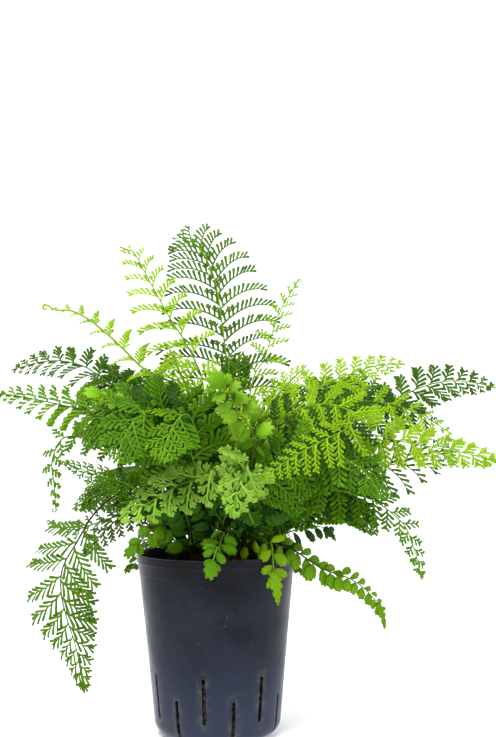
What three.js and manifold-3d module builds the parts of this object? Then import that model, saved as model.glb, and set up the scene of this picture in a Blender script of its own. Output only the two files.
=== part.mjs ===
// Potted fern: a finely cut spleenwort in a tapered, slotted growing pot of clay granules.
// Millimetres, +Z up. The origin is the centre of the pot's flat foot.
import * as THREE from "three";
import { mergeVertices } from "three/addons/utils/BufferGeometryUtils.js";
import Module from "manifold-3d";

const wasm = await Module();
wasm.setup();

// ---- driving dimensions -------------------------------------------------
const POT_HEIGHT = 184; // foot to lip
const POT_FOOT_RADIUS = 62.7; // wall carried down to the foot, before the rounding
const POT_TAPER = 0.0946; // radius gained per unit of height
const POT_ROUNDING = 17; // big rounding between wall and foot
const POT_WALL = 1.8;
const POT_FLOOR = 2.4;
const POT_FACETS = 48;
const LIP_HEIGHT = 8;
const LIP_OVERHANG = 0.9;
const BAND_BOTTOM = 164; // shallow step under the lip
const BAND_STEP = 0.4;
const SLOT_WIDTH = 4.2;
const SLOTS_PER_ROW = 7;
const HIGH_SLOT = { start: -62, bottom: 21, top: 67 }; // degrees from the front, then heights
const LOW_SLOT = { start: -36.3, inner: 43, top: 44 }; // runs under the foot from this radius
const FIT_GAP = 0.3; // between pieces that rest on each other

const BED_LEVEL = 169.4; // flat seat under the crown
const BED_BUMP = 1.7; // relief of the granules' top
const CROWN_RADIUS = 31;
const CROWN_FOOT = 171; // where the dome starts
const CROWN_DOME = 11;

const STALK_HALF = 1.15; // half thickness of a stalk at its foot
const STALK_HALF_TIP = 0.55;
const STALK_STEPS = 7; // rings along the bare stalk
const SOCKET_GAP = 0.32; // round a stalk in the crown

// ---- solids -------------------------------------------------------------
function toManifold(geometry) {
  const g = geometry.clone();
  g.deleteAttribute("normal");
  g.deleteAttribute("uv");
  const m = mergeVertices(g, 1e-4);
  return new wasm.Manifold(
    new wasm.Mesh({
      numProp: 3,
      vertProperties: new Float32Array(m.attributes.position.array),
      triVerts: new Uint32Array(m.index.array),
    }),
  );
}

function toGeometry(manifold) {
  const mesh = manifold.getMesh();
  const g = new THREE.BufferGeometry();
  g.setAttribute("position", new THREE.BufferAttribute(new Float32Array(mesh.vertProperties), 3));
  g.setIndex(new THREE.BufferAttribute(new Uint32Array(mesh.triVerts), 1));
  g.computeVertexNormals();
  return g;
}

// A closed profile of [radius, height] turned about +Z.
function turned(profile, facets = POT_FACETS) {
  const g = new THREE.LatheGeometry(profile.map(([r, z]) => new THREE.Vector2(r, z)), facets);
  g.rotateX(Math.PI / 2);
  return g;
}

function facingOut(geometry) {
  let m = toManifold(geometry);
  if (m.volume() >= 0) return m;
  const g = geometry.clone();
  const i = g.index.array;
  for (let k = 0; k < i.length; k += 3) [i[k], i[k + 1]] = [i[k + 1], i[k]];
  return toManifold(g);
}

// ---- the pot ------------------------------------------------------------
const outerRadius = (z) => POT_FOOT_RADIUS + POT_TAPER * z;

// Quarter round from the foot up into the tapered wall, moved in by an offset.
function roundedFoot(offset, floor, steps) {
  const points = [];
  const r = POT_ROUNDING - offset;
  const cz = floor + r;
  const cx = outerRadius(cz) - offset - r;
  for (let k = 0; k <= steps; k++) {
    const a = (Math.PI / 2) * (k / steps);
    points.push([cx + r * Math.sin(a), cz - r * Math.cos(a)]);
  }
  return points;
}

const lipBottom = POT_HEIGHT - LIP_HEIGHT;
const lipRadius = outerRadius(lipBottom) + LIP_OVERHANG;
const potProfile = [
  [0, 0],
  ...roundedFoot(0, 0, 6),
  [outerRadius(BAND_BOTTOM), BAND_BOTTOM],
  [outerRadius(BAND_BOTTOM) + BAND_STEP, BAND_BOTTOM + 0.6],
  [outerRadius(lipBottom) + BAND_STEP, lipBottom - 0.5],
  [lipRadius, lipBottom],
  [lipRadius + 0.2, POT_HEIGHT - 1],
  [lipRadius - 0.7, POT_HEIGHT],
  [outerRadius(POT_HEIGHT) - POT_WALL + 0.5, POT_HEIGHT],
  [outerRadius(POT_HEIGHT) - POT_WALL, POT_HEIGHT - 1],
  ...roundedFoot(POT_WALL, POT_FLOOR, 6).reverse(),
  [0, POT_FLOOR],
];

// One slot cutter in the XZ plane at the front, turned to its angle afterwards.
function slotCutter(degrees, innerRadius, bottom, top) {
  const straightTop = top - SLOT_WIDTH / 2;
  const reach = 90 - innerRadius;
  const box = new THREE.BoxGeometry(SLOT_WIDTH, reach, straightTop - bottom);
  box.translate(0, -(innerRadius + reach / 2), (straightTop + bottom) / 2);
  const round = new THREE.CylinderGeometry(SLOT_WIDTH / 2, SLOT_WIDTH / 2, reach, 10);
  round.translate(0, -(innerRadius + reach / 2), straightTop);
  let cutter = toManifold(box).add(toManifold(round));
  if (bottom > 0) {
    const under = new THREE.CylinderGeometry(SLOT_WIDTH / 2, SLOT_WIDTH / 2, reach, 10);
    under.translate(0, -(innerRadius + reach / 2), bottom);
    cutter = cutter.add(toManifold(under));
  }
  return cutter.rotate([0, 0, degrees]);
}

let pot = facingOut(turned(potProfile));
for (let k = 0; k < SLOTS_PER_ROW; k++) {
  const turn = (360 / SLOTS_PER_ROW) * k;
  pot = pot.subtract(
    slotCutter(HIGH_SLOT.start + turn, 50, HIGH_SLOT.bottom + SLOT_WIDTH / 2, HIGH_SLOT.top),
  );
  pot = pot.subtract(slotCutter(LOW_SLOT.start + turn, LOW_SLOT.inner, -2, LOW_SLOT.top));
}

// ---- the granules: one fill with an uneven top --------------------------
function granuleBed() {
  const inset = POT_WALL + FIT_GAP;
  const side = roundedFoot(inset, POT_FLOOR + FIT_GAP, 4);
  const facets = 48;
  const rings = [36, 44, 52, 60, 68];
  const edge = outerRadius(BED_LEVEL) - inset - 0.25;
  const positions = [];
  const index = [];
  const ring = (radius, heightAt) => {
    const start = positions.length / 3;
    for (let k = 0; k < facets; k++) {
      const a = (2 * Math.PI * k) / facets;
      positions.push(radius * Math.cos(a), radius * Math.sin(a), heightAt(radius, a));
    }
    return start;
  };
  const bump = (radius, a) =>
    BED_LEVEL +
    BED_BUMP *
      (0.5 + 0.25 * Math.sin(5 * a + radius * 0.7) + 0.25 * Math.sin(11 * a - radius * 1.3));
  const starts = [];
  for (const [r, z] of side) starts.push(ring(r, () => z));
  starts.push(ring(edge, () => BED_LEVEL));
  for (const r of rings.slice().reverse()) starts.push(ring(r, bump));
  starts.push(ring(CROWN_RADIUS + 1, () => BED_LEVEL));
  for (let s = 0; s + 1 < starts.length; s++)
    for (let k = 0; k < facets; k++) {
      const n = (k + 1) % facets;
      index.push(starts[s] + k, starts[s] + n, starts[s + 1] + n);
      index.push(starts[s] + k, starts[s + 1] + n, starts[s + 1] + k);
    }
  const bottom = positions.length / 3;
  positions.push(0, 0, POT_FLOOR + FIT_GAP);
  const top = bottom + 1;
  positions.push(0, 0, BED_LEVEL);
  for (let k = 0; k < facets; k++) {
    const n = (k + 1) % facets;
    index.push(bottom, starts[0] + n, starts[0] + k);
    index.push(top, starts[starts.length - 1] + k, starts[starts.length - 1] + n);
  }
  const g = new THREE.BufferGeometry();
  g.setAttribute("position", new THREE.Float32BufferAttribute(positions, 3));
  g.setIndex(index);
  return facingOut(g);
}

// ---- fronds -------------------------------------------------------------
const UP = new THREE.Vector3(0, 0, 1);

// Smooth curve through the control points, with its length at each step.
function rail(points) {
  const P = points.map((p) => new THREE.Vector3(...p));
  P.unshift(P[0].clone().multiplyScalar(2).sub(P[1]));
  P.push(P[P.length - 1].clone().multiplyScalar(2).sub(P[P.length - 2]));
  const curve = [];
  for (let i = 1; i < P.length - 2; i++)
    for (let j = 0; j < 16; j++) {
      const t = j / 16;
      const at = (a, b, c, d) =>
        0.5 * (2 * b + (c - a) * t + (2 * a - 5 * b + 4 * c - d) * t * t + (3 * b - a - 3 * c + d) * t ** 3);
      const [a, b, c, d] = [P[i - 1], P[i], P[i + 1], P[i + 2]];
      curve.push(new THREE.Vector3(at(a.x, b.x, c.x, d.x), at(a.y, b.y, c.y, d.y), at(a.z, b.z, c.z, d.z)));
    }
  curve.push(P[P.length - 2].clone());
  const lengths = [0];
  for (let i = 1; i < curve.length; i++) lengths.push(lengths[i - 1] + curve[i].distanceTo(curve[i - 1]));
  return { curve, lengths };
}

function pointAt({ curve, lengths }, s) {
  const x = Math.min(1, Math.max(0, s)) * lengths[lengths.length - 1];
  let i = 1;
  while (i < lengths.length - 1 && lengths[i] < x) i++;
  return curve[i - 1].clone().lerp(curve[i], (x - lengths[i - 1]) / (lengths[i] - lengths[i - 1]));
}

function frameAt(frond, r, s) {
  const t = pointAt(r, Math.min(1, s + 0.012)).sub(pointAt(r, Math.max(0, s - 0.012))).normalize();
  const f = new THREE.Vector3(...frond.faceFoot).multiplyScalar(1 - s);
  f.addScaledVector(new THREE.Vector3(...frond.faceTip), s);
  const n = f.addScaledVector(t, -f.dot(t)).normalize();
  return { t, n, l: t.clone().cross(n) };
}

const stalkHalf = (s) => STALK_HALF + (STALK_HALF_TIP - STALK_HALF) * s;

// A four-sided stalk whose two narrow sides grow a pinna in each step of the blade.
function frondGeometry(frond) {
  const r = rail(frond.points);
  const blade = [];
  for (let i = 0; i <= frond.pairs; i++) {
    const x = i / frond.pairs;
    blade.push(frond.bare + (0.985 - frond.bare) * ((1 + frond.crowding) * x - frond.crowding * x * x));
  }
  const rings = [];
  for (let i = 0; i < STALK_STEPS; i++) rings.push((frond.bare * i) / STALK_STEPS);
  rings.push(...blade);
  const positions = [];
  const index = [];
  const put = (v) => positions.push(v.x, v.y, v.z) / 3 - 1;
  for (const s of rings) {
    const p = pointAt(r, s);
    const { n, l } = frameAt(frond, r, s);
    const h = stalkHalf(s);
    for (const [a, b] of [[1, 1], [1, -1], [-1, -1], [-1, 1]])
      put(p.clone().addScaledVector(l, a * h).addScaledVector(n, b * h));
  }
  const quad = (a, b, c, d) => index.push(a, b, c, a, c, d);
  quad(0, 1, 2, 3);
  for (let i = 0; i + 1 < rings.length; i++) {
    const k = i - STALK_STEPS; // blade step, if any
    for (let side = 0; side < 4; side++) {
      const n = (side + 1) % 4;
      const [a, b, c, d] = [4 * i + side, 4 * (i + 1) + side, 4 * (i + 1) + n, 4 * i + n];
      const row = side === 0 ? 0 : side === 2 ? 1 : -1;
      const length = k >= 0 && row >= 0 ? frond.pinnae[row][k] : 0;
      if (length <= 0) {
        quad(a, b, c, d);
        continue;
      }
      const middle = (rings[i] + rings[i + 1]) / 2;
      const x = (k + 0.5) / frond.pairs;
      const angle = THREE.MathUtils.degToRad(frond.angleFoot + (frond.angleTip - frond.angleFoot) * x);
      const m = frameAt(frond, r, middle);
      const tip = put(
        pointAt(r, middle)
          .addScaledVector(m.t, Math.cos(angle) * length)
          .addScaledVector(m.l, Math.sin(angle) * length * (row === 0 ? 1 : -1))
          .addScaledVector(UP, (-frond.droop * length * length) / 60),
      );
      index.push(a, b, tip, b, c, tip, c, d, tip, d, a, tip);
    }
  }
  const last = 4 * (rings.length - 1);
  const end = put(pointAt(r, 1));
  for (let side = 0; side < 4; side++) index.push(last + side, end, last + ((side + 1) % 4));
  const g = new THREE.BufferGeometry();
  g.setAttribute("position", new THREE.Float32BufferAttribute(positions, 3));
  g.setIndex(index);
  return facingOut(g);
}

// The hole in the crown that a frond's foot sits in, along the stalk's first straight step.
function socket(frond, step) {
  const r = rail(frond.points);
  const foot = pointAt(r, (frond.bare * step) / STALK_STEPS);
  const t = pointAt(r, (frond.bare * (step + 1)) / STALK_STEPS).sub(foot).normalize();
  const n = frameAt(frond, r, (frond.bare * step) / STALK_STEPS).n;
  n.addScaledVector(t, -n.dot(t)).normalize();
  const side = 2 * (STALK_HALF + SOCKET_GAP);
  const box = new THREE.BoxGeometry(side, side, 14.8);
  box.translate(0, 0, 7.4 - 1.5);
  box.applyMatrix4(new THREE.Matrix4().makeBasis(n.clone().cross(t), n, t));
  box.translate(foot.x, foot.y, foot.z);
  return facingOut(box);
}

// Foot to tip: name, tone, blade outline, bare part of the stalk, pinna pairs and their crowding,
// pinna angles, droop, the way the blade faces at foot and tip, the stalk's points, pinna lengths.
const TABLE = [
  ["frond_back_tall", "dark", "A", 0.42, 13, 0.42, 72, 42, 0.18, [0, -0.97, 0.243], [0.094, -0.94, 0.329],
    [2.3, 7.9, 178.1, 7.7, 10.5, 200.5, 11.7, 21.7, 296.2, 14.5, 26.7, 367.6, 11.3, 36.2, 385.3, 8.2, 46.8, 411.6, 4.6, 56.8, 438.3, 0.5, 66.1, 463.1, -7.5, 74.6, 484.9, -17.2, 81.5, 501.5, -30.1, 87, 509.5, -42.1, 92, 516.5],
    [13.9, 21.6, 21.2, 67.3, 63, 58.2, 53.1, 47.6, 41.7, 35.3, 28.3, 20.2, 9.8],
    [69.6, 72.1, 70.6, 67.3, 63, 58.2, 53.1, 47.6, 41.7, 35.3, 28.3, 20.2, 9.8]],
  ["frond_top_left", "bright", "A", 0.42, 10, 0.42, 72, 42, 0.18, [0.233, -0.931, 0.279], [0.309, -0.883, 0.353],
    [-6.1, 6.3, 178, -5.8, 9.2, 199.6, -11, 13.2, 286.6, -12.4, 16, 353.4, -20.6, 22.7, 379.2, -34.1, 29.6, 404.3, -47.7, 35.7, 425.9, -62.5, 43.1, 453, -74.2, 48.9, 474.4, -84.9, 54.1, 493.7, -99.9, 58, 500.5],
    [16.8, 8.5, 32.5, 37.4, 33.6, 29.5, 25, 20, 14.3, 6.9],
    [41.9, 42.7, 40.6, 37.4, 33.6, 29.5, 25, 20, 14.3, 6.9]],
  ["frond_left_young", "bright", "A", 0.45, 9, 0.42, 72, 42, 0.18, [0.287, -0.766, 0.575], [0.267, -0.802, 0.535],
    [-10.2, 3.1, 177.8, -14.4, 4.3, 199.4, -40.3, 7.6, 288.5, -60.4, 10, 355.9, -80.2, 17.4, 377.7, -102.3, 25.1, 399.7, -128.8, 33.6, 421.9, -149.1, 39.2, 432.7, -166.3, 43.3, 434, -176, 46, 439.5],
    [21.9, 22.1, 20.7, 18.7, 16.4, 13.9, 11.2, 8, 4],
    [21.9, 22.1, 20.7, 18.7, 16.4, 13.9, 11.2, 8, 4]],
  ["frond_left_upper", "dark", "A", 0.42, 12, 0.42, 72, 42, 0.18, [0.182, -0.818, 0.545], [0.097, -0.87, 0.483],
    [-15.5, 3, 176.9, -21.7, 3, 198.2, -47.5, 15.5, 276.5, -67.7, 25.6, 337.2, -104, 40.9, 354, -123.6, 50.7, 365.6, -140.2, 59.2, 375.2, -162.9, 68.8, 380.7, -188.1, 78.8, 379.9, -221.1, 92, 371.7],
    [0, 30.9, 0, 0, 26.3, 24, 21.5, 18.8, 16, 12.8, 9.1, 4.4],
    [29.9, 30.9, 30, 28.3, 26.3, 24, 21.5, 18.8, 16, 12.8, 9.1, 4.4]],
  ["frond_left_lower", "mid", "A", 0.4, 12, 0.42, 72, 42, 0.18, [0.092, -0.829, 0.552], [0, -0.885, 0.466],
    [-16.8, -2.1, 176.6, -23.5, -3.2, 197.5, -52.4, -6.8, 258.3, -75.9, -10, 307.6, -96.5, -4.8, 321.8, -119.3, 0, 327, -142.2, 4.8, 332.2, -162.1, 9, 336.4, -186.3, 14, 341.6, -209.6, 18.8, 345.9, -225.5, 22, 347],
    [29.9, 24.7, 30, 28.3, 26.3, 24, 21.5, 18.8, 16, 12.8, 9.1, 4.4],
    [15, 21.6, 24, 28.3, 26.3, 24, 21.5, 18.8, 16, 12.8, 9.1, 4.4]],
  ["frond_left_hanging", "dark", "A", 0.46, 12, 0.42, 72, 42, 0.18, [-0.098, -0.195, 0.976], [-0.44, -0.88, 0.176],
    [-20.4, -10.5, 174.6, -27.9, -14.3, 193.7, -47.1, -22.3, 217.1, -65.2, -30, 242.2, -96.8, -35.4, 245.9, -120.4, -40.5, 227.6, -137, -45.9, 200.5, -150.5, -50.7, 176.4, -152.2, -54.9, 152.3, -146, -59.5, 126.4, -136.9, -64.5, 98.6, -128.7, -72, 56.9],
    [48.2, 49.8, 48.4, 45.6, 42.3, 38.6, 34.6, 30.3, 25.7, 20.6, 14.7, 7.1],
    [48.2, 49.8, 48.4, 45.6, 42.3, 38.6, 34.6, 30.3, 25.7, 20.6, 14.7, 7.1]],
  ["frond_left_drooping", "mid", "A", 0.42, 10, 0.42, 72, 42, 0.18, [0, -0.707, 0.707], [-0.477, -0.858, 0.191],
    [-21, -5.2, 175.2, -29.1, -7.3, 195.5, -48.4, -14.1, 238.9, -65.5, -20, 277.7, -100.6, -19.5, 294.1, -124.8, -19.2, 301.4, -142.9, -19, 304.5, -156.1, -18.8, 299.6, -164.4, -18.6, 278.5, -162.6, -18.3, 256.3, -160.8, -18, 230],
    [7.4, 9.4, 16.1, 16.4, 14.8, 13, 11, 8.8, 6.3, 4],
    [18.4, 18.8, 17.9, 16.4, 14.8, 13, 11, 8.8, 6.3, 4]],
  ["frond_left_short", "mid", "A", 0.48, 8, 0.42, 72, 42, 0.18, [0, -0.817, 0.577], [-0.097, -0.87, 0.483],
    [-12.4, -13.9, 176.2, -17.7, -18.8, 197, -53.5, -33.4, 227.2, -83.9, -46, 255.6, -109.2, -61.4, 265.8, -123.1, -69.9, 271.3, -144.8, -84, 282.1],
    [16.9, 16.9, 15.5, 13.6, 11.6, 9.3, 6.6, 4],
    [16.9, 16.9, 15.5, 13.6, 11.6, 9.3, 6.6, 4]],
  ["frond_left_curled", "mid", "A", 0.48, 9, 0.42, 72, 42, 0.18, [0, -0.817, 0.577], [0, -0.874, 0.486],
    [-23.6, 0.8, 174.3, -30.4, 1.1, 189.7, -67.6, 8, 224.9, -97.4, 20.9, 220.9, -127.7, 34.3, 210.6, -154, 45.6, 203.4, -177.2, 56, 212.1],
    [15.1, 15.3, 14.3, 12.9, 11.4, 9.6, 7.7, 5.5, 4],
    [15.1, 15.3, 14.3, 12.9, 11.4, 9.6, 7.7, 5.5, 4]],
  ["frond_top_right", "bright", "A", 0.45, 10, 0.42, 72, 42, 0.18, [-0.233, -0.931, 0.279], [-0.276, -0.921, 0.276],
    [7.5, 8.7, 177.7, 13, 13, 198.2, 26.7, 20.3, 290.1, 39.2, 26, 359, 51.3, 31.6, 380.7, 59.5, 37.7, 406.8, 69.2, 43.7, 431.9, 78.9, 48, 448.8, 88.2, 52, 464.1],
    [22.6, 25.6, 24.4, 22.4, 20.2, 17.7, 15, 12, 8.6, 4.2],
    [20.1, 5.1, 4.9, 22.4, 20.2, 17.7, 15, 12, 8.6, 4.2]],
  ["frond_right_top", "bright", "A", 0.38, 11, 0.42, 72, 42, 0.18, [-0.189, -0.802, 0.566], [-0.097, -0.87, 0.483],
    [11.3, 4.9, 177.6, 16.7, 5.9, 198.4, 43.7, 5.2, 262, 66.3, 4, 312.9, 87.2, 10.6, 338.2, 113.3, 16.7, 353.3, 139.5, 22.3, 364.4, 167.9, 28.2, 372.4, 197.5, 34, 374.2],
    [31.7, 16.3, 12.5, 20.5, 26.8, 24, 21.1, 17.8, 14.3, 10.2, 4.9],
    [31.7, 26, 31.3, 29.2, 26.8, 24, 21.1, 17.8, 14.3, 10.2, 4.9]],
  ["frond_right_upper", "dark", "A", 0.42, 12, 0.42, 72, 42, 0.18, [0, -0.8, 0.6], [0, -0.922, 0.388],
    [16.4, 3.6, 176.7, 23, 6.4, 194.6, 70.1, 17.2, 254.5, 108.1, 28, 299.3, 150.7, 41.8, 316.1, 179.9, 51.4, 330.3, 196.9, 57.3, 340.5, 221.6, 65.1, 350.8, 249.1, 73.2, 355.8, 276.8, 81.2, 353.3, 300.3, 88, 347.7],
    [31.6, 32.6, 31.7, 29.9, 27.7, 25.3, 22.7, 19.9, 16.8, 13.5, 9.6, 4.7],
    [15.8, 22.8, 22.2, 9, 13.9, 25.3, 22.7, 19.9, 16.8, 13.5, 9.6, 4.7]],
  ["frond_right_long", "bright", "B", 0.26, 14, 0.42, 74, 44, 0.3, [-0.096, -0.813, 0.574], [0, -0.874, 0.486],
    [14.4, -5.7, 177, 20.2, -8, 198, 29, -22.1, 239.5, 37.3, -34, 277.6, 61.3, -38.9, 292.6, 92, -44.5, 299.5, 122.5, -49.9, 304.4, 151.8, -55.1, 305.4, 182.7, -60.9, 298.4, 218.3, -67.4, 291.6, 248.7, -73.1, 285.7, 274.2, -78, 277.5],
    [36.3, 37.8, 37.2, 35.7, 33.8, 31.5, 29.1, 26.5, 23.7, 20.8, 17.6, 14.1, 10.1, 4.9],
    [0, 26.4, 37.2, 35.7, 33.8, 31.5, 29.1, 26.5, 23.7, 20.8, 17.6, 14.1, 10.1, 4.9]],
  ["frond_right_slender", "dark", "A", 0.45, 9, 0.42, 72, 42, 0.18, [0, -0.8, 0.6], [0, -0.862, 0.507],
    [21.6, -2.4, 175.1, 30, -3.6, 195.5, 77.4, 3, 227.7, 117.1, 8, 256, 148.7, 18.7, 265.3, 180.6, 29, 269.5, 202.1, 36, 274.1, 231.4, 45.6, 281.7, 252.1, 52, 281.2],
    [37, 37.4, 35, 31.6, 27.8, 23.6, 18.9, 13.5, 6.5],
    [37, 37.4, 35, 31.6, 27.8, 23.6, 18.9, 13.5, 6.5]],
  ["frond_right_arching", "mid", "B", 0.3, 12, 0.42, 74, 44, 0.3, [0, -0.659, 0.753], [0.466, -0.839, 0.28],
    [16.6, -10.7, 175.8, 22, -15.9, 196.7, 56.3, -37.3, 231.6, 84.5, -52.1, 262.9, 120.9, -62, 251, 144.9, -68.5, 245.4, 162.5, -73.8, 236.9, 175.6, -78.3, 226.4, 185.8, -82.3, 215.6, 190.2, -86, 202.8, 194.5, -89.7, 189.7, 199.4, -96, 167.3],
    [33.3, 34.3, 33.3, 31.5, 29.2, 26.6, 23.9, 20.9, 17.7, 14.2, 10.1, 4.9],
    [33.3, 34.3, 33.3, 31.5, 29.2, 26.6, 23.9, 20.9, 17.7, 14.2, 10.1, 4.9]],
  ["frond_front_left_broad", "pale", "C", 0.34, 6, 0.35, 64, 36, 0.16, [0, -0.874, 0.486], [-0.185, -0.927, 0.325],
    [-8.2, -17, 176.1, -11, -24.3, 196.7, -3.7, -49.6, 236.3, 2, -72, 272.3, -16.8, -79.9, 264.7, -35.5, -87.7, 258.2, -59.1, -98.5, 244.8, -71.2, -104, 238.6, -88.9, -112, 230],
    [16.2, 30.9, 26.5, 21.3, 15.2, 7.4],
    [26, 30.9, 26.5, 21.3, 15.2, 7.4]],
  ["frond_front_centre_broad", "pale", "C", 0.42, 6, 0.35, 64, 36, 0.16, [0, -0.874, 0.486], [0, -0.958, 0.287],
    [2.8, -15.7, 176.9, 3.9, -22.1, 197.9, 20.6, -59.2, 242.9, 34.3, -90, 280.8, 28.4, -97, 271.7, 24.5, -104.5, 260.8, 21.6, -112, 249.9, 16.8, -124, 232.5],
    [0, 29.2, 25.1, 20.2, 14.4, 7],
    [12.3, 29.2, 25.1, 20.2, 14.4, 7]],
  ["frond_juvenile_rim_left", "mid", "D", 0.16, 6, 0.15, 72, 46, 0.25, [0, -0.514, 0.857], [-0.488, -0.781, 0.39],
    [-18.1, -20.5, 171.8, -21.9, -24.8, 182.7, -43.4, -30.1, 213, -55.1, -35.4, 214.6, -67.7, -42.1, 207.4, -77.3, -48.7, 197.3, -86.8, -56, 185.4],
    [0, 0, 14.8, 14.6, 11.6, 7.1],
    [16.5, 17, 16.4, 14.6, 11.6, 7.1]],
  ["frond_juvenile_front_centre", "mid", "D", 0.18, 6, 0.15, 72, 46, 0.25, [0, -0.514, 0.857], [0, -0.981, 0.196],
    [-3.5, -26.5, 172.3, -4.3, -32.1, 183.4, 9, -56, 210.1, 5.1, -64.1, 200.4, 4.2, -73.2, 193.4, 2.3, -81.6, 197.3, -5.3, -94, 169.7],
    [16.5, 17, 16.4, 14.6, 11.6, 7.1],
    [0, 5.1, 16.4, 14.6, 11.6, 7.1]],
  ["frond_juvenile_front_right", "bright", "D", 0.18, 7, 0.15, 72, 46, 0.25, [0, -0.514, 0.857], [0.098, -0.976, 0.195],
    [14, -22.4, 172.6, 16.9, -27.1, 183.5, 42.5, -48, 203.3, 52.2, -54.8, 198.5, 55.9, -61.9, 197.1, 57.6, -69.3, 173.4, 61.2, -80, 143.2],
    [14.8, 15.3, 15.1, 7.1, 12.3, 9.7, 6],
    [3, 6.1, 15.1, 14.1, 12.3, 9.7, 6]],
  ["frond_juvenile_right_trailing", "mid", "D", 0.16, 12, 0.15, 72, 46, 0.25, [0, -0.555, 0.832], [0.432, -0.864, 0.259],
    [23.6, -14, 171.8, 28.3, -16.8, 182.4, 52.6, -30, 197, 77.3, -36.3, 189.7, 105.8, -44.1, 171.7, 129.2, -50, 164, 142.7, -53.8, 156.4, 154.6, -57.9, 145.1, 165.3, -62.9, 128, 166.9, -66, 115.7],
    [14.7, 12, 7.6, 15.3, 15, 14.5, 13.7, 12.6, 11.2, 9.6, 7.6, 4.9],
    [14.7, 15.1, 15.3, 15.3, 15, 14.5, 13.7, 12.6, 11.2, 9.6, 7.6, 4.9]],
  ["frond_juvenile_right_small", "deep", "D", 0.16, 8, 0.15, 72, 46, 0.25, [0, -0.555, 0.832], [0.505, -0.808, 0.303],
    [26.6, -6.6, 171.8, 32, -8, 182.5, 65, -10, 200.9, 85.5, -4, 207.2, 108.2, 2.4, 208.5, 122.7, 8, 193.4],
    [13.9, 14.4, 14.4, 13.8, 12.7, 10.9, 8.6, 5.4],
    [13.9, 14.4, 14.4, 13.8, 12.7, 10.9, 8.6, 5.4]],
  ["frond_centre_round", "lime", "D", 0.56, 5, 0.15, 72, 46, 0.25, [0.095, -0.953, 0.286], [0, -0.944, 0.33],
    [3.9, -8.4, 178, 5.5, -11.9, 199.6, 21.7, -38, 236.9, 35.2, -60, 271.2, 40.3, -71.7, 301.2, 31.7, -79.4, 319.1, 22.2, -86, 332.9, 15.6, -91.7, 345.6, 7.1, -97.7, 358.3, -4.1, -104, 369],
    [22.4, 22.9, 21.2, 17, 10.4],
    [22.4, 22.9, 21.2, 17, 10.4]],
  ["frond_left_small", "dark", "A", 0.44, 8, 0.42, 72, 42, 0.18, [0, -0.731, 0.682], [-0.291, -0.874, 0.389],
    [-22.8, -15.2, 171.8, -29.7, -19.8, 187.9, -47.3, -19.1, 209, -63.9, -20, 231.3, -85.9, -22.6, 227.7, -102.9, -25, 217, -117.9, -27.4, 202.4, -132.8, -30, 186.8],
    [20.3, 20.2, 18.6, 16.4, 13.9, 11.1, 7.9, 4],
    [20.3, 20.2, 18.6, 16.4, 13.9, 11.1, 7.9, 4]],
  ["frond_centre_left_bright", "bright", "A", 0.4, 10, 0.42, 72, 42, 0.18, [0.176, -0.88, 0.44], [0.088, -0.704, 0.704],
    [-7.5, 11.8, 177.3, -10.5, 15.6, 198.8, -11.8, 3.7, 233.6, -9.6, -4, 268.1, -16.4, 1.1, 313.8, -29.5, 5.7, 354.7, -45.8, 10, 390.7],
    [17.6, 25.1, 34.1, 31.4, 28.2, 12.4, 21, 16.8, 12, 5.8],
    [35.2, 35.9, 34.1, 31.4, 28.2, 24.8, 21, 16.8, 12, 5.8]],
  ["frond_centre_upright", "mid", "B", 0.4, 9, 0.42, 74, 44, 0.3, [0, -0.894, 0.447], [0, -0.614, 0.789],
    [0.4, 14.5, 177.2, 1.2, 19.6, 198.6, 3.8, 13.3, 237.9, 6.3, -10.2, 276.2, 9.3, 50.1, 322, 18.4, 36.6, 359.2, 29, 44, 388.3],
    [19.4, 0, 0, 33.1, 29.1, 17.3, 17.8, 14.1, 6.8],
    [0, 15.6, 36.6, 33.1, 29.1, 24.7, 19.7, 14.1, 6.8]],
  ["frond_centre_right_bright", "bright", "A", 0.4, 10, 0.42, 72, 42, 0.18, [-0.39, -0.781, 0.488], [0, -0.614, 0.789],
    [14.4, 10.1, 176.4, 19.2, 14.9, 197.7, 23.8, 3.4, 237.9, 28.2, -6, 276, 47.8, -15.5, 318.8, 69.1, -23.1, 349.1, 92.2, -30, 373],
    [0, 10.3, 22.7, 17.9, 26.9, 23.6, 20, 16, 11.4, 5.5],
    [10.1, 13.7, 32.5, 29.9, 26.9, 23.6, 20, 16, 11.4, 5.5]],
  ["frond_left_mid_dense", "mid", "B", 0.34, 10, 0.42, 74, 44, 0.3, [0, -0.731, 0.682], [-0.376, -0.847, 0.376],
    [-12.4, -5, 177.4, -17.4, -7.1, 198.7, -23.1, -19.4, 239.8, -28.8, -30, 277.9, -49.1, -38.3, 315.5, -75.4, -44.6, 332.8, -104.7, -50.7, 325.3, -126, -58, 296.2],
    [48.6, 49.5, 47.1, 43.4, 39, 34.2, 29, 23.2, 16.6, 8],
    [48.6, 49.5, 47.1, 43.4, 39, 34.2, 29, 23.2, 16.6, 8]],
  ["frond_left_front_dense", "mid", "B", 0.34, 10, 0.42, 74, 44, 0.3, [0, -0.8, 0.6], [-0.272, -0.908, 0.318],
    [-9, -9.8, 177.4, -12.7, -13.8, 198.7, -15.2, -36.6, 236.3, -18, -56, 271.5, -32.6, -74.6, 313.7, -55.1, -87.1, 331.7, -77.6, -98.6, 318.8, -93.7, -116, 283.5],
    [51.9, 10.6, 10.1, 46.3, 41.7, 36.6, 31, 24.8, 17.7, 8.6],
    [51.9, 53, 50.4, 46.3, 41.7, 36.6, 31, 24.8, 17.7, 8.6]],
  ["frond_left_low", "mid", "B", 0.22, 10, 0.42, 74, 44, 0.3, [0, -0.8, 0.6], [-0.392, -0.832, 0.392],
    [-26.3, -5.1, 172.3, -34.4, -6.6, 188.4, -45.2, -4.9, 213, -56.6, -4, 238, -89.7, 4.2, 252, -121.1, 11.5, 243.5, -146.6, 18, 228.8],
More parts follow.
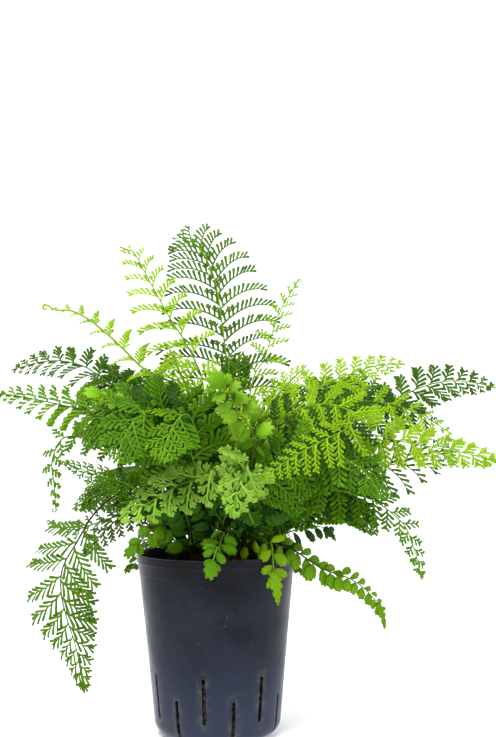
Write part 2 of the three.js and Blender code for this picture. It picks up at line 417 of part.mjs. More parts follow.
    [9, 6.2, 29.2, 26.9, 24.2, 21.2, 18, 14.4, 10.3, 5],
    [30.2, 30.8, 29.2, 26.9, 24.2, 21.2, 18, 14.4, 10.3, 5]],
  ["frond_right_mid_bright", "bright", "B", 0.34, 11, 0.42, 74, 44, 0.3, [0, -0.8, 0.6], [0.097, -0.87, 0.483],
    [13.2, -0.6, 177.4, 18.3, -1.3, 198.7, 28.2, -4.8, 238.6, 37.3, -8, 276.1, 78.3, -5.2, 310.1, 122.3, -2.6, 333, 170.4, -0.1, 335.6, 211.3, 2.1, 320.9, 242, 4, 302.2],
    [33.4, 34.3, 33, 30.8, 28.2, 25.3, 22.2, 18.8, 15, 10.7, 5.2],
    [33.4, 0, 13.2, 21.5, 22.5, 25.3, 22.2, 18.8, 15, 10.7, 5.2]],
  ["frond_right_front_dense", "mid", "B", 0.32, 10, 0.42, 74, 44, 0.3, [0, -0.8, 0.6], [0.272, -0.908, 0.318],
    [12.5, -14, 176.1, 17, -19.8, 196.7, 33, -44.5, 230.2, 46.8, -66, 261.7, 76, -80.8, 285.8, 112.2, -95.5, 290.1, 141.8, -109.7, 273.4, 161.3, -124, 245.8],
    [41.9, 42.7, 40.6, 37.4, 33.6, 29.5, 25, 20, 14.3, 6.9],
    [8.4, 21.4, 40.6, 37.4, 33.6, 29.5, 25, 20, 14.3, 6.9]],
  ["frond_right_low_dense", "mid", "B", 0.2, 10, 0.42, 74, 44, 0.3, [0, -0.8, 0.6], [0.376, -0.847, 0.376],
    [21.6, -9, 174.4, 28, -11.2, 188.8, 50.9, -27.5, 226.9, 76.9, -33.1, 239.2, 110.7, -37.9, 241.3, 140.2, -42, 229.4, 159.5, -46, 205.8],
    [0, 0, 30.9, 28.4, 25.5, 22.4, 19, 15.2, 10.9, 5.3],
    [0, 32.5, 30.9, 28.4, 25.5, 22.4, 19, 15.2, 10.9, 5.3]],
  ["frond_right_upright", "mid", "B", 0.4, 9, 0.42, 74, 44, 0.3, [-0.28, -0.839, 0.466], [0, -0.817, 0.577],
    [19.8, 8.7, 175.1, 27, 13.1, 195.5, 42.2, 15.5, 236.5, 55.9, 16, 274.5, 93.8, 32.8, 306.5, 130.5, 51, 339.1, 159, 62.4, 366.2],
    [32, 19.4, 12.1, 5.5, 14.4, 16.3, 0, 11.6, 5.6],
    [12.8, 12.9, 30.2, 27.3, 24, 20.4, 16.3, 11.6, 5.6]],
  ["frond_left_lime_round", "lime", "D", 0.44, 7, 0.15, 72, 46, 0.25, [0, -0.753, 0.659], [0, -0.753, 0.659],
    [-15.3, -9.5, 176.4, -21.3, -13.2, 197.2, -32.2, -29.8, 240.1, -42.2, -44, 278.9, -66.8, -57.4, 317.3, -91.5, -66.9, 337.4, -110.4, -73.1, 345.5, -125.4, -78, 350.6],
    [16.5, 17, 16.8, 15.7, 13.7, 10.8, 6.7],
    [16.5, 17, 16.8, 15.7, 13.7, 10.8, 6.7]],
  ["frond_front_left_inner", "deep", "D", 0.16, 7, 0.15, 72, 46, 0.25, [0, -0.874, 0.486], [-0.183, -0.913, 0.365],
    [-17.5, -15.2, 174.5, -21.6, -18.8, 186.7, -27, -40, 220.8, -34.5, -47.6, 233.4, -48, -55, 236.2, -61.3, -64, 227.3],
    [0, 13.1, 18.5, 17.3, 15, 11.9, 7.4],
    [0, 13.1, 18.5, 17.3, 15, 11.9, 7.4]],
  ["frond_front_right_inner", "deep", "D", 0.16, 7, 0.15, 72, 46, 0.25, [0, -0.874, 0.486], [0.268, -0.894, 0.358],
    [18.2, -16.4, 173.8, 22.6, -20.3, 186.4, 40.7, -44, 216.6, 54.6, -53.6, 231.2, 72.1, -62.3, 233.8, 87.4, -72, 222.8],
    [18.1, 5.6, 18.5, 17.3, 15, 11.9, 7.4],
    [5.4, 7.5, 11.1, 17.3, 15, 11.9, 7.4]],
  ["frond_front_low", "deep", "C", 0.2, 6, 0.35, 64, 36, 0.16, [0, -0.874, 0.486], [0.094, -0.94, 0.329],
    [-5.6, -21.6, 174.9, -6.8, -26.3, 186.3, 7, -48, 215.3, 13.2, -59.2, 234, 21.2, -65.9, 242.4, 30.9, -73.4, 235.1, 38.6, -84, 220.4],
    [0, 0, 20.9, 16.8, 12, 5.8],
    [10.2, 17.1, 12.6, 0, 12, 5.8]],
  ["frond_front_left_high", "mid", "B", 0.32, 10, 0.42, 74, 44, 0.3, [0, -0.756, 0.655], [-0.185, -0.927, 0.325],
    [-4, -11.5, 177.6, -5.7, -16.2, 199, -7, -30.9, 236.7, -8.5, -44, 272.6, -17.1, -74.3, 311.6, -26.1, -88.9, 327.6, -39, -104.2, 314.8, -49.3, -132, 284],
    [43.6, 44.4, 42.2, 38.9, 35, 24.5, 20.8, 20.8, 14.9, 7.2],
    [26.1, 44.4, 0, 0, 35, 30.7, 26, 20.8, 14.9, 7.2]],
  ["frond_front_right_high", "bright", "B", 0.5, 12, 0.42, 74, 44, 0.3, [0.1, -0.796, 0.597], [-0.147, -0.885, 0.442],
    [8.9, -10.1, 177.4, 12.5, -14.2, 198.7, 19, -22.3, 237, 25.2, -30, 273.5, 47.4, -46.2, 306, 76.9, -61.8, 327.9, 109.6, -76.4, 335.8, 135.1, -88.3, 327.1, 130.7, -94.4, 313.9, 104, -107.1, 301.2, 73, -122.4, 285.2, 44.4, -138, 265.8],
    [24.4, 36, 35, 33.1, 30.6, 28, 25.1, 22, 18.6, 14.9, 10.6, 5.2],
    [34.9, 36, 35, 33.1, 30.6, 28, 25.1, 22, 18.6, 14.9, 10.6, 5.2]],
  ["frond_left_side_high", "mid", "B", 0.34, 10, 0.42, 74, 44, 0.3, [0.198, -0.693, 0.693], [-0.303, -0.808, 0.505],
    [-20, 5.7, 175.5, -27.5, 8.2, 196, -34.6, 15.2, 250.8, -40.8, 18, 298, -78.8, 37.3, 343.3, -108.8, 48.2, 356, -134.8, 55.4, 347.7, -150.7, 64, 322.3],
    [38.5, 39.3, 37.4, 34.4, 30.9, 27.1, 23, 18.4, 13.2, 6.4],
    [7.7, 0, 0, 34.4, 0, 0, 11.5, 18.4, 13.2, 6.4]],
  ["frond_right_side_high", "mid", "B", 0.34, 10, 0.42, 74, 44, 0.3, [-0.198, -0.693, 0.693], [0.303, -0.808, 0.505],
    [21.7, 2.9, 175.1, 29.3, 1.5, 199, 39.3, 16.4, 246.5, 47.9, 30, 290.4, 88.1, 41.2, 333.4, 134.7, 48.6, 345.4, 177.4, 58.2, 338.6, 209.7, 66, 314.8],
    [7.4, 15, 32.2, 32.9, 29.6, 23.4, 11, 3.5, 12.6, 6.1],
    [36.9, 37.6, 35.7, 32.9, 11.8, 0, 22, 17.6, 12.6, 6.1]],
  ["frond_back_left_high", "mid", "A", 0.34, 11, 0.42, 72, 42, 0.18, [0.49, -0.633, 0.6], [-0.142, 0.51, 0.849],
    [-11, 15.8, 176, -16.8, 22.1, 209.6, -22.6, 30.5, 256.6, -33.2, 42.6, 292.6, -46, 56.3, 317.1, -60.8, 71.3, 329.3, -75.3, 85.4, 329.1, -88.7, 98.2, 320],
    [13.5, 23.1, 31.2, 41.6, 38, 34.1, 29.9, 25.4, 20.3, 14.5, 7],
    [18, 23.1, 31.2, 41.6, 38, 34.1, 29.9, 25.4, 20.3, 14.5, 7]],
  ["frond_back_right_high", "bright", "A", 0.34, 11, 0.42, 72, 42, 0.18, [-0.347, -0.721, 0.6], [0.233, 0.451, 0.862],
    [8.3, 15.3, 176.5, 11.2, 20.5, 209.4, 18.5, 31.8, 254.4, 28, 45.4, 289, 39.6, 61, 312.3, 53, 78.2, 323.4, 66.2, 94.5, 322.3, 78.6, 109.2, 312.5],
    [18, 18.5, 22.3, 41.6, 38, 34.1, 29.9, 25.4, 20.3, 14.5, 7],
    [22.5, 23.1, 22.3, 37.4, 38, 34.1, 29.9, 25.4, 20.3, 14.5, 7]],
  ["frond_back_high", "mid", "B", 0.34, 11, 0.42, 74, 44, 0.3, [-0.1, -0.8, 0.592], [-0.271, 0.474, 0.838],
    [-1.5, 19.5, 175.9, -2.8, 27, 206.7, -2.1, 41.2, 249.1, -3.8, 59, 281.6, -8.7, 79.9, 302.2, -12.2, 103.4, 310.8, -15.7, 125.9, 307.5, -19, 146.5, 295.9],
    [0, 8.9, 42.9, 40, 36.6, 32.9, 28.8, 24.4, 19.6, 14, 6.8],
    [0, 0, 0, 40, 36.6, 32.9, 28.8, 24.4, 19.6, 14, 6.8]],
  ["frond_back_left_long", "mid", "B", 0.34, 11, 0.42, 74, 44, 0.3, [0.649, -0.468, 0.6], [-0.33, 0.407, 0.852],
    [-18, 12.1, 175.1, -25, 17.1, 199.6, -40.4, 28.9, 232, -59, 44.1, 254.7, -80.3, 62.4, 266.1, -103.8, 83.3, 265, -125.9, 103.8, 252.8, -146, 122.8, 233.1],
    [41.7, 42.8, 41.2, 38.5, 35.2, 31.6, 27.7, 23.5, 18.8, 13.4, 6.5],
    [16.7, 34.3, 41.2, 38.5, 35.2, 31.6, 27.7, 23.5, 18.8, 13.4, 6.5]],
  ["frond_back_right_long", "mid", "B", 0.34, 11, 0.42, 74, 44, 0.3, [-0.515, -0.622, 0.589], [0.518, 0.137, 0.844],
    [18.3, 13.8, 174.6, 25.4, 19.4, 198.2, 39.6, 31.5, 229.6, 57.2, 47.5, 251.1, 77.2, 66.6, 261.3, 99.3, 88.5, 258.9, 120.1, 109.9, 245.4, 138.9, 129.7, 224.6],
    [33.4, 42.8, 41.2, 38.5, 35.2, 31.6, 27.7, 23.5, 18.8, 13.4, 6.5],
    [12.5, 42.8, 41.2, 38.5, 35.2, 31.6, 27.7, 23.5, 18.8, 13.4, 6.5]],
  ["frond_back_long", "mid", "B", 0.34, 11, 0.42, 74, 44, 0.3, [-0.06, -0.798, 0.599], [-0.174, 0.52, 0.836],
    [3, 22.3, 174.8, 4.4, 31.5, 197.8, 7.9, 52.1, 227.8, 12.8, 77.7, 247.7, 18.9, 107.3, 255.9, 26.1, 140.4, 250.9, 33.4, 172, 234.6, 40.2, 200.9, 210.8],
    [30.4, 44.5, 42.9, 40, 36.6, 32.9, 28.8, 24.4, 19.6, 14, 6.8],
    [43.4, 44.5, 42.9, 40, 36.6, 32.9, 28.8, 24.4, 19.6, 14, 6.8]],
  ["frond_back_low_left", "deep", "B", 0.18, 11, 0.42, 74, 44, 0.3, [0.135, -0.798, 0.588], [0.042, 0.554, 0.831],
    [-10.4, 23.3, 173.3, -13.7, 30.2, 188.2, -21.6, 45.6, 206.8, -32.1, 64.4, 216.9, -44.9, 85.9, 216.8, -59.7, 109.8, 205, -74.2, 132.4, 184, -87.8, 153, 157.3],
    [30.7, 39.4, 37.9, 35.4, 32.4, 29.1, 25.5, 21.6, 17.3, 12.3, 6],
    [38.4, 39.4, 37.9, 35.4, 32.4, 29.1, 25.5, 21.6, 17.3, 12.3, 6]],
  ["frond_back_low_right", "deep", "B", 0.18, 11, 0.42, 74, 44, 0.3, [-0.263, -0.756, 0.6], [0.038, 0.52, 0.853],
    [9, 24.8, 172.6, 11.8, 31.8, 186.8, 18.5, 47.2, 204.3, 27.4, 66.2, 213.3, 38.3, 88, 212, 51, 112.2, 198.9, 63.6, 135.1, 176.6, 75.4, 156, 148.6],
    [38.4, 39.4, 37.9, 35.4, 32.4, 29.1, 25.5, 21.6, 17.3, 12.3, 6],
    [38.4, 39.4, 37.9, 35.4, 32.4, 29.1, 25.5, 21.6, 17.3, 12.3, 6]],
  ["frond_back_arching_left", "mid", "B", 0.24, 11, 0.42, 74, 44, 0.3, [0.73, -0.328, 0.599], [-0.357, 0.437, 0.825],
    [-24.8, 9, 172.6, -31.2, 11.7, 194.6, -43.8, 15.2, 224.4, -60.4, 19.9, 245, -79.6, 25.1, 255.3, -101.3, 30.6, 254.1, -122.2, 35.6, 242.7, -141.3, 39.9, 224.6],
    [8.5, 29.1, 5.6, 26.2, 23.9, 21.5, 18.8, 16, 12.8, 9.1, 4.4],
    [17, 20.4, 16.8, 15.7, 14.4, 15, 17, 16, 12.8, 9.1, 4.4]],
  ["frond_back_arching_right", "mid", "B", 0.24, 11, 0.42, 74, 44, 0.3, [-0.731, -0.327, 0.599], [0.428, 0.294, 0.855],
    [25.7, 9.4, 171.8, 32.4, 11.3, 193.8, 44.5, 16.2, 223.3, 60.6, 20.3, 243.9, 79.6, 25.2, 254, 101, 30.6, 252.4, 121.4, 35.4, 240.5, 140.3, 39.7, 221.8],
    [0, 0, 0, 0, 23.9, 21.5, 18.8, 16, 12.8, 9.1, 4.4],
    [0, 17.5, 11.2, 15.7, 14.4, 17.2, 18.8, 16, 12.8, 9.1, 4.4]],
  ["frond_back_broad", "pale", "C", 0.36, 7, 0.35, 64, 36, 0.16, [-0.05, -0.811, 0.582], [-0.076, 0.503, 0.861],
    [-2.5, 10.1, 177.8, -3.7, 16.2, 204.2, -6, 29.8, 239.5, -10, 46.7, 265.2, -9.9, 67.4, 280, -9.8, 89.9, 283.3, -10.1, 111.8, 275.3, -10, 131.8, 259.8],
    [0, 0, 29.7, 25.3, 20.3, 14.5, 7],
    [0, 33.2, 29.7, 25.3, 20.3, 14.5, 7]],
  ["frond_back_broad_right", "pale", "C", 0.34, 7, 0.35, 64, 36, 0.16, [-0.456, -0.658, 0.599], [0.353, 0.366, 0.861],
    [13.4, 16.5, 175.3, 17.1, 21.3, 195.4, 24.9, 32.4, 221.9, 34.1, 46.7, 240, 44.2, 63.7, 248.3, 55.2, 83, 245.7, 65.3, 101.8, 233.7, 74.3, 119.1, 215.3],
    [9.7, 12.6, 28.2, 24, 19.3, 13.7, 6.7],
    [25.8, 15.8, 11.3, 24, 19.3, 13.7, 6.7]],
  ["frond_juvenile_back_left", "mid", "D", 0.16, 9, 0.15, 72, 46, 0.25, [0.607, -0.522, 0.599], [-0.296, 0.42, 0.858],
    [-19.7, 19, 171.8, -23.4, 22.4, 177.8, -32, 29.8, 185, -42.9, 38.6, 188.4, -55.9, 48.5, 191.8, -70.7, 59.4, 186.8, -85.1, 69.5, 168, -98.4, 78.6, 153.8],
    [14.7, 15.2, 15.3, 15, 14.1, 12.8, 11, 8.7, 5.5],
    [14.7, 15.2, 15.3, 15, 14.1, 12.8, 11, 8.7, 5.5]],
  ["frond_juvenile_back_right", "mid", "D", 0.16, 9, 0.15, 72, 46, 0.25, [-0.596, -0.535, 0.599], [0.422, 0.294, 0.858],
    [19, 19.7, 171.8, 22.5, 23.1, 177.8, 30.4, 30.4, 184.9, 40.6, 39.2, 187.8, 52.8, 49.2, 190, 66.6, 60.1, 187.5, 80, 70.3, 163.7, 92.4, 79.5, 147.8],
    [14.7, 15.2, 15.3, 15, 14.1, 12.8, 11, 8.7, 5.5],
    [14.7, 15.2, 15.3, 15, 14.1, 12.8, 11, 8.7, 5.5]],
  ["frond_juvenile_back", "lime", "D", 0.16, 9, 0.15, 72, 46, 0.25, [-0.04, -0.8, 0.599], [-0.17, 0.495, 0.852],
    [-1, 27.4, 171.8, -1.2, 32, 178.5, -1.8, 42.3, 186.6, -2.9, 55.1, 190.5, -4.3, 70, 190.9, -6, 86.7, 189.2, -7.8, 102.6, 169.3, -9.5, 117.1, 153.8],
    [14.7, 15.2, 15.3, 15, 14.1, 12.8, 11, 8.7, 5.5],
    [14.7, 15.2, 15.3, 15, 14.1, 12.8, 11, 8.7, 5.5]],
];

const FRONDS = TABLE.map(
  ([name, tone, kind, bare, pairs, crowding, angleFoot, angleTip, droop, faceFoot, faceTip, flat, right, left]) => {
    const points = [];
    for (let i = 0; i < flat.length; i += 3) points.push([flat[i], flat[i + 1], flat[i + 2]]);
    return { name, tone, kind, bare, pairs, crowding, angleFoot, angleTip, droop, faceFoot, faceTip, points, pinnae: [right, left] };
  },
);

// ---- the crown ----------------------------------------------------------
const crownProfile = [[0, BED_LEVEL + FIT_GAP], [CROWN_RADIUS - 1, BED_LEVEL + FIT_GAP], [CROWN_RADIUS, CROWN_FOOT]];
for (let k = 1; k <= 5; k++) {
  const a = (Math.PI / 2) * (k / 5);
  crownProfile.push([k === 5 ? 0 : CROWN_RADIUS * Math.cos(a), CROWN_FOOT + CROWN_DOME * Math.sin(a)]);
}
let crown = facingOut(turned(crownProfile, 26));
for (const frond of FRONDS) crown = crown.subtract(socket(frond, 0)).subtract(socket(frond, 1));

// ---- materials and the assembly -----------------------------------------
const TONES = {
  dark: 0x47761f,
  mid: 0x5c9a1c,
  deep: 0x2c5414,
  bright: 0x86b827,
  lime: 0x93c23c,
  pale: 0x7cab50,
};
const finish = (color, roughness) => new THREE.MeshStandardMaterial({ color, roughness, metalness: 0 });

const fern = new THREE.Group();
function place(name, manifold, material) {
  const mesh = new THREE.Mesh(toGeometry(manifold), material);
  mesh.name = name;
  fern.add(mesh);
}
place("culture_pot", pot, finish(0x2b303b, 0.5));
place("granule_bed", granuleBed(), finish(0x6b4030, 0.95));
place("crown", crown, finish(0x3b2a1c, 0.9));
for (const frond of FRONDS) place(frond.name, frondGeometry(frond), finish(TONES[frond.tone], 0.55));

export default fern;
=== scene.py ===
# Potted fern: the looks of the finely cut fronds, the crown, the clay granules and the slotted pot.
import math
import bmesh
import bpy
import numpy as np
from mathutils import Matrix


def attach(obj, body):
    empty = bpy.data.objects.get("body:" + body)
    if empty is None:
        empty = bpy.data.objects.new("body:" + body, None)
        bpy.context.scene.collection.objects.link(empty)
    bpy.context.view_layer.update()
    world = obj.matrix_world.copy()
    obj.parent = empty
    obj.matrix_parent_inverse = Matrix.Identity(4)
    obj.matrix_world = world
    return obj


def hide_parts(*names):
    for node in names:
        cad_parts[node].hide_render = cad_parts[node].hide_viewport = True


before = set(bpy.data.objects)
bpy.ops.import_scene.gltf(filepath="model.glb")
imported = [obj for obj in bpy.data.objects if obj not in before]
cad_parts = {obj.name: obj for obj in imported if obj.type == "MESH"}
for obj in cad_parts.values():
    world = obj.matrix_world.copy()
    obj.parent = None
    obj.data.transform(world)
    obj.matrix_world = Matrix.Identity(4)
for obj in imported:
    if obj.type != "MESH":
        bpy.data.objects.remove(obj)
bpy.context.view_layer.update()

MM = 0.001
rng = np.random.default_rng(90210)
UP = np.array([0.0, 0.0, 1.0])


def unit(v):
    return v / np.maximum(np.linalg.norm(v, axis=-1, keepdims=True), 1e-9)


# ---- camera: level, at the photograph's angle ------------------------------
cam_data = bpy.data.cameras.new("camera")
cam_data.sensor_width = 36.0
cam_data.lens = 1618.0 * 36.0 / 737.0
cam_data.clip_start = 0.05
cam_data.clip_end = 50.0
cam = bpy.data.objects.new("camera", cam_data)
bpy.context.scene.collection.objects.link(cam)
ROLL = 0.009
cam.matrix_world = Matrix(
    ((1, ROLL, 0, 0.0341), (0, 0, -1, -1.650), (-ROLL, 1, 0, 0.371), (0, 0, 0, 1))
)
bpy.context.scene.camera = cam


# ---- meshes from arrays ------------------------------------------------------
class Build:
    """Closed shells gathered into one mesh, in millimetres, with a vector at each point for the material."""

    def __init__(self):
        self.v, self.a, self.q, self.t, self.qm, self.tm, self.n = [], [], [], [], [], [], 0

    def add(self, v, quads=None, tris=None, attr=None, slot=0):
        v = np.asarray(v, float).reshape(-1, 3)
        self.v.append(v)
        self.a.append(np.zeros_like(v) if attr is None else np.asarray(attr, float).reshape(-1, 3))
        if quads is not None and len(quads):
            self.q.append(np.asarray(quads, np.int64).reshape(-1, 4) + self.n)
            self.qm.append(np.full(len(self.q[-1]), slot, np.int32))
        if tris is not None and len(tris):
            self.t.append(np.asarray(tris, np.int64).reshape(-1, 3) + self.n)
            self.tm.append(np.full(len(self.t[-1]), slot, np.int32))
        self.n += len(v)

    def make(self, name, materials, smooth=True):
        v, a = np.vstack(self.v) * MM, np.vstack(self.a)
        q = np.vstack(self.q) if self.q else np.zeros((0, 4), np.int64)
        t = np.vstack(self.t) if self.t else np.zeros((0, 3), np.int64)
        m = np.concatenate(self.qm + self.tm)
        mesh = bpy.data.meshes.new(name)
        mesh.vertices.add(len(v))
        mesh.vertices.foreach_set("co", v.astype(np.float32).ravel())
        mesh.loops.add(q.size + t.size)
        mesh.loops.foreach_set("vertex_index", np.concatenate([q.ravel(), t.ravel()]).astype(np.int32))
        mesh.polygons.add(len(q) + len(t))
        starts = np.concatenate([np.arange(len(q)) * 4, q.size + np.arange(len(t)) * 3])
        mesh.polygons.foreach_set("loop_start", starts.astype(np.int32))
        mesh.polygons.foreach_set("material_index", m)
        mesh.polygons.foreach_set("use_smooth", np.full(len(m), smooth))
        at = mesh.attributes.new("leaf", "FLOAT_VECTOR", "POINT")
        at.data.foreach_set("vector", a.astype(np.float32).ravel())
        mesh.update(calc_edges=True)
        mesh.validate()
        for mat in materials:
            mesh.materials.append(mat)
        ob = bpy.data.objects.new(name, mesh)
        bpy.context.scene.collection.objects.link(ob)
        return ob


def tube(b, P, radius, T, N, sides=6, attr=(0, 0, 0), slot=0, flat=1.0):
    """A closed tube along P, capped flat at each end."""
    k = len(P)
    S = np.cross(T, N)
    a = 2 * np.pi * np.arange(sides) / sides
    ring = P[:, None] + radius[:, None, None] * (
        np.cos(a)[None, :, None] * S[:, None] + flat * np.sin(a)[None, :, None] * N[:, None]
    )
    v = np.vstack([ring.reshape(-1, 3), P[0], P[-1]])
    i = np.arange(k - 1)[:, None] * sides
    j = np.arange(sides)[None]
    n = (j + 1) % sides
    quads = np.stack([i + j, i + n, i + sides + n, i + sides + j], -1).reshape(-1, 4)
    j, n = j[0], n[0]
    foot, end = k * sides, k * sides + 1
    tris = np.vstack(
        [
            np.stack([n, j, np.full(sides, foot)], -1),
            np.stack([(k - 1) * sides + j, (k - 1) * sides + n, np.full(sides, end)], -1),
        ]
    )
    # cos to S = T x N, sin to N: the turn runs against T, so the faces are reversed
    b.add(v, quads[:, ::-1], tris[:, ::-1], np.tile(attr, (len(v), 1)) if np.ndim(attr) == 1 else attr, slot)


# Outlines of a leaflet: (left along, left out, middle along, right along, right out) from base to end
def plain_outline(*rows):
    return [(t, w, t, t, w) for t, w in rows]


SLIM = plain_outline((0.0, 0.80), (0.24, 0.66), (0.60, 0.90), (0.86, 1.0)) + [(0.99, 0.52, 0.95, 0.985, 0.46)]
BLUNT = plain_outline((0.0, 0.50), (0.28, 0.62), (0.60, 1.0), (0.84, 0.84)) + [(1.0, 0.34, 0.98, 0.995, 0.28)]
NOTCHED = plain_outline((0.0, 0.42), (0.24, 0.52), (0.50, 0.88)) + [
    (0.68, 0.98, 0.64, 0.63, 1.00), (0.70, 0.80, 0.70, 0.66, 0.84), (0.90, 0.88, 0.82, 0.85, 0.94),
    (0.86, 0.44, 0.88, 0.83, 0.50), (1.00, 0.24, 0.97, 0.99, 0.22)]
FINGERED = plain_outline((0.0, 0.10), (0.26, 0.18), (0.42, 0.44)) + [
    (0.66, 0.98, 0.52, 0.62, 1.00), (0.74, 0.86, 0.57, 0.70, 0.88), (0.60, 0.46, 0.62, 0.56, 0.48),
    (0.86, 0.70, 0.70, 0.82, 0.72), (0.94, 0.52, 0.76, 0.92, 0.50), (0.76, 0.22, 0.82, 0.74, 0.20),
    (1.00, 0.24, 0.92, 1.00, 0.22), (1.06, 0.08, 1.04, 1.06, 0.08)]


def leaves(b, base, D, N, length, width, bend, swing, shape=SLIM, slot=0, shade=None, crease=0.16, thick=0.26, cup=0.0):
    """Thin closed blades, creased along the middle: base, D (along) and N (upper side) are K x 3."""
    K = len(base)
    if not K:
        return
    N = unit(N - (N * D).sum(-1, keepdims=True) * D)
    S = np.cross(D, N)
    L, W = length[:, None], width[:, None]
    rnd = rng.random(K) if shade is None else shade
    flip = (rng.random(K) < 0.5)[:, None]

    def spot(t):
        return base + D * (L * t) - N * (bend[:, None] * L * t * t) + S * (swing[:, None] * L * t * t)

    rows, att = [], []
    for tl, wl, tc, tr, wr in shape:
        ta, wa = np.where(flip, tr, tl), np.where(flip, wr, wl)
        tb, wb = np.where(flip, tl, tr), np.where(flip, wl, wr)
        ha, hb = 0.5 * W * wa, 0.5 * W * wb
        c = spot(tc)
        rows += [spot(tb) + S * hb + N * (crease * hb - cup * hb * hb / W), c + N * 0.03,
                 spot(ta) - S * ha + N * (crease * ha - cup * ha * ha / W), c - N * thick]
        for under, w_ in ((0.3, 1.0), (0.0, 0.0), (0.3, 1.0), (1.0, 0.0)):
            att.append(np.stack([np.full(K, tc), rnd, np.full(K, under)], -1))
    v = np.stack(rows, 1)
    a = np.stack(att, 1)
    nv, m = v.shape[1], len(shape)
    quads, tris = [], []
    for s in range(m - 1):
        for j in range(4):
            n = (j + 1) % 4
            quads.append([4 * s + j, 4 * s + n, 4 * s + 4 + n, 4 * s + 4 + j])
    e = 4 * (m - 1)
    tris += [[3, 1, 0], [3, 2, 1], [e, e + 1, e + 3], [e + 1, e + 2, e + 3]]
    off = (np.arange(K) * nv)[:, None, None]
    b.add(v, (np.array(quads)[None] + off).reshape(-1, 4), (np.array(tris)[None] + off).reshape(-1, 3), a, slot)


def round_leaf(b, base, D, N, length, width, shade, slot=0, teeth=7, form="round", depth=0.14):
    """One broad leaflet: wedge-shaped foot, rounded scalloped end, domed and creased, as a thin closed shell."""
    N = unit(N - (N @ D) * D)
    S = np.cross(D, N)
    m = 72
    k = (np.arange(m) + 0.5) / m
    t = 0.5 - 0.5 * np.cos(2 * np.pi * k)
    half = 0.5 * np.where(t < 0.58, np.sin(0.5 * np.pi * (t / 0.58)) ** 0.92, np.sqrt(1 - np.clip((t - 0.58) / 0.42, 0, 1) ** 2.1))
    if form == "taper":
        half = 0.5 * np.interp(t, (0, 0.05, 0.22, 0.45, 0.8, 1), (0.15, 0.70, 1.0, 0.90, 0.50, 0.08))
    skew = rng.uniform(-0.10, 0.10)
    y = np.where(k < 0.5, half, -half)
    out = np.clip((t - 0.22) / 0.25, 0, 1) if form == "round" else np.clip(t / 0.1, 0, 1) * 1.6
    phase = rng.uniform(0, np.pi)
    notch = 1 - np.abs(np.sin(teeth * np.pi * k + (phase if form == "round" else 0.0))) 
    scallop = 1 - depth * out * notch**1.5
    x, y = 0.46 + (t - 0.46) * np.where(t > 0.46, scallop if form == "round" else 1, 1), y * scallop
    v, at = [], []
    droop = rng.uniform(0.06, 0.24)
    dome = rng.uniform(0.15, 0.45)

    def point(px, py, rise, under):
        lift = 0.12 * length * np.sin(np.pi * np.clip(px, 0, 1)) - droop * length * px * px
        v.append(base + D * (px * length) + S * ((py + skew * px * px) * width) + N * (lift + 0.20 * np.abs(py) * width - dome * width * py * py * 2 + rise))
        at.append([px, shade, under])

    for px, py in zip(x, y):
        point(px, py, 0, 0.3)
    for s, rise, under in ((0.66, 0.03, 0.0), (0.33, 0.05, 0.0), (0.66, -0.24, 1.0), (0.33, -0.26, 1.0)):
        for i in range(m):
            wave = 0.13 * np.cos(teeth * 2 * np.pi * k[i] + 2 * phase) * s
            point(0.46 + (x[i] - 0.46) * s, y[i] * s, rise + wave, under)
    point(0.46, 0, 0.0, 0.0)
    point(0.46, 0, -0.27, 1.0)
    j = np.arange(m)
    n = (j + 1) % m
    top = [np.stack([j, n, m + n, m + j], -1), np.stack([m + j, m + n, 2 * m + n, 2 * m + j], -1)]
    low = [np.stack([n, j, 3 * m + j, 3 * m + n], -1), np.stack([3 * m + n, 3 * m + j, 4 * m + j, 4 * m + n], -1)]
    tris = [np.stack([2 * m + j, 2 * m + n, np.full(m, 5 * m)], -1), np.stack([4 * m + n, 4 * m + j, np.full(m, 5 * m + 1)], -1)]
    q, t = np.vstack(top + low), np.vstack(tris)
    # counter-clockwise seen from N needs D x S = N; here S = D x N gives -N, so the faces are reversed
    b.add(np.array(v), q[:, ::-1], t[:, ::-1], np.array(at), slot)


# ---- the curve and facing of each frond, as in the construction ------------------
def rail(points):
    P = np.asarray(points, float)
    P = np.vstack([2 * P[0] - P[1], P, 2 * P[-1] - P[-2]])
    out = []
    t = (np.arange(16) / 16)[:, None]
    for i in range(1, len(P) - 2):
        a, b, c, d = P[i - 1], P[i], P[i + 1], P[i + 2]
        out.append(0.5 * (2 * b + (c - a) * t + (2 * a - 5 * b + 4 * c - d) * t * t + (3 * b - a - 3 * c + d) * t**3))
    C = np.vstack(out + [P[-2]])
    return C, np.r_[0, np.cumsum(np.linalg.norm(np.diff(C, axis=0), axis=1))]


def at(R, s):
    C, d = R
    x = np.clip(s, 0, 1) * d[-1]
    return np.stack([np.interp(x, d, C[:, k]) for k in range(3)], -1)


def frame_at(f, R, s):
    s = np.atleast_1d(np.asarray(s, float))
    T = unit(at(R, np.clip(s + 0.012, 0, 1)) - at(R, np.clip(s - 0.012, 0, 1)))
    face = np.outer(1 - s, f["f0"]) + np.outer(s, f["f1"])
    N = unit(face - (face * T).sum(-1, keepdims=True) * T)
    return T, N, np.cross(T, N)


def profile(x, kind):
    if kind == "D":
        return np.clip(1 - x, 0, 1) ** 0.35 * (0.8 + 0.2 * np.sin(np.pi * x))
    return np.clip(1 - x, 0.02, 1) ** 0.66 * (1 - 0.22 * np.exp(-x / 0.10))


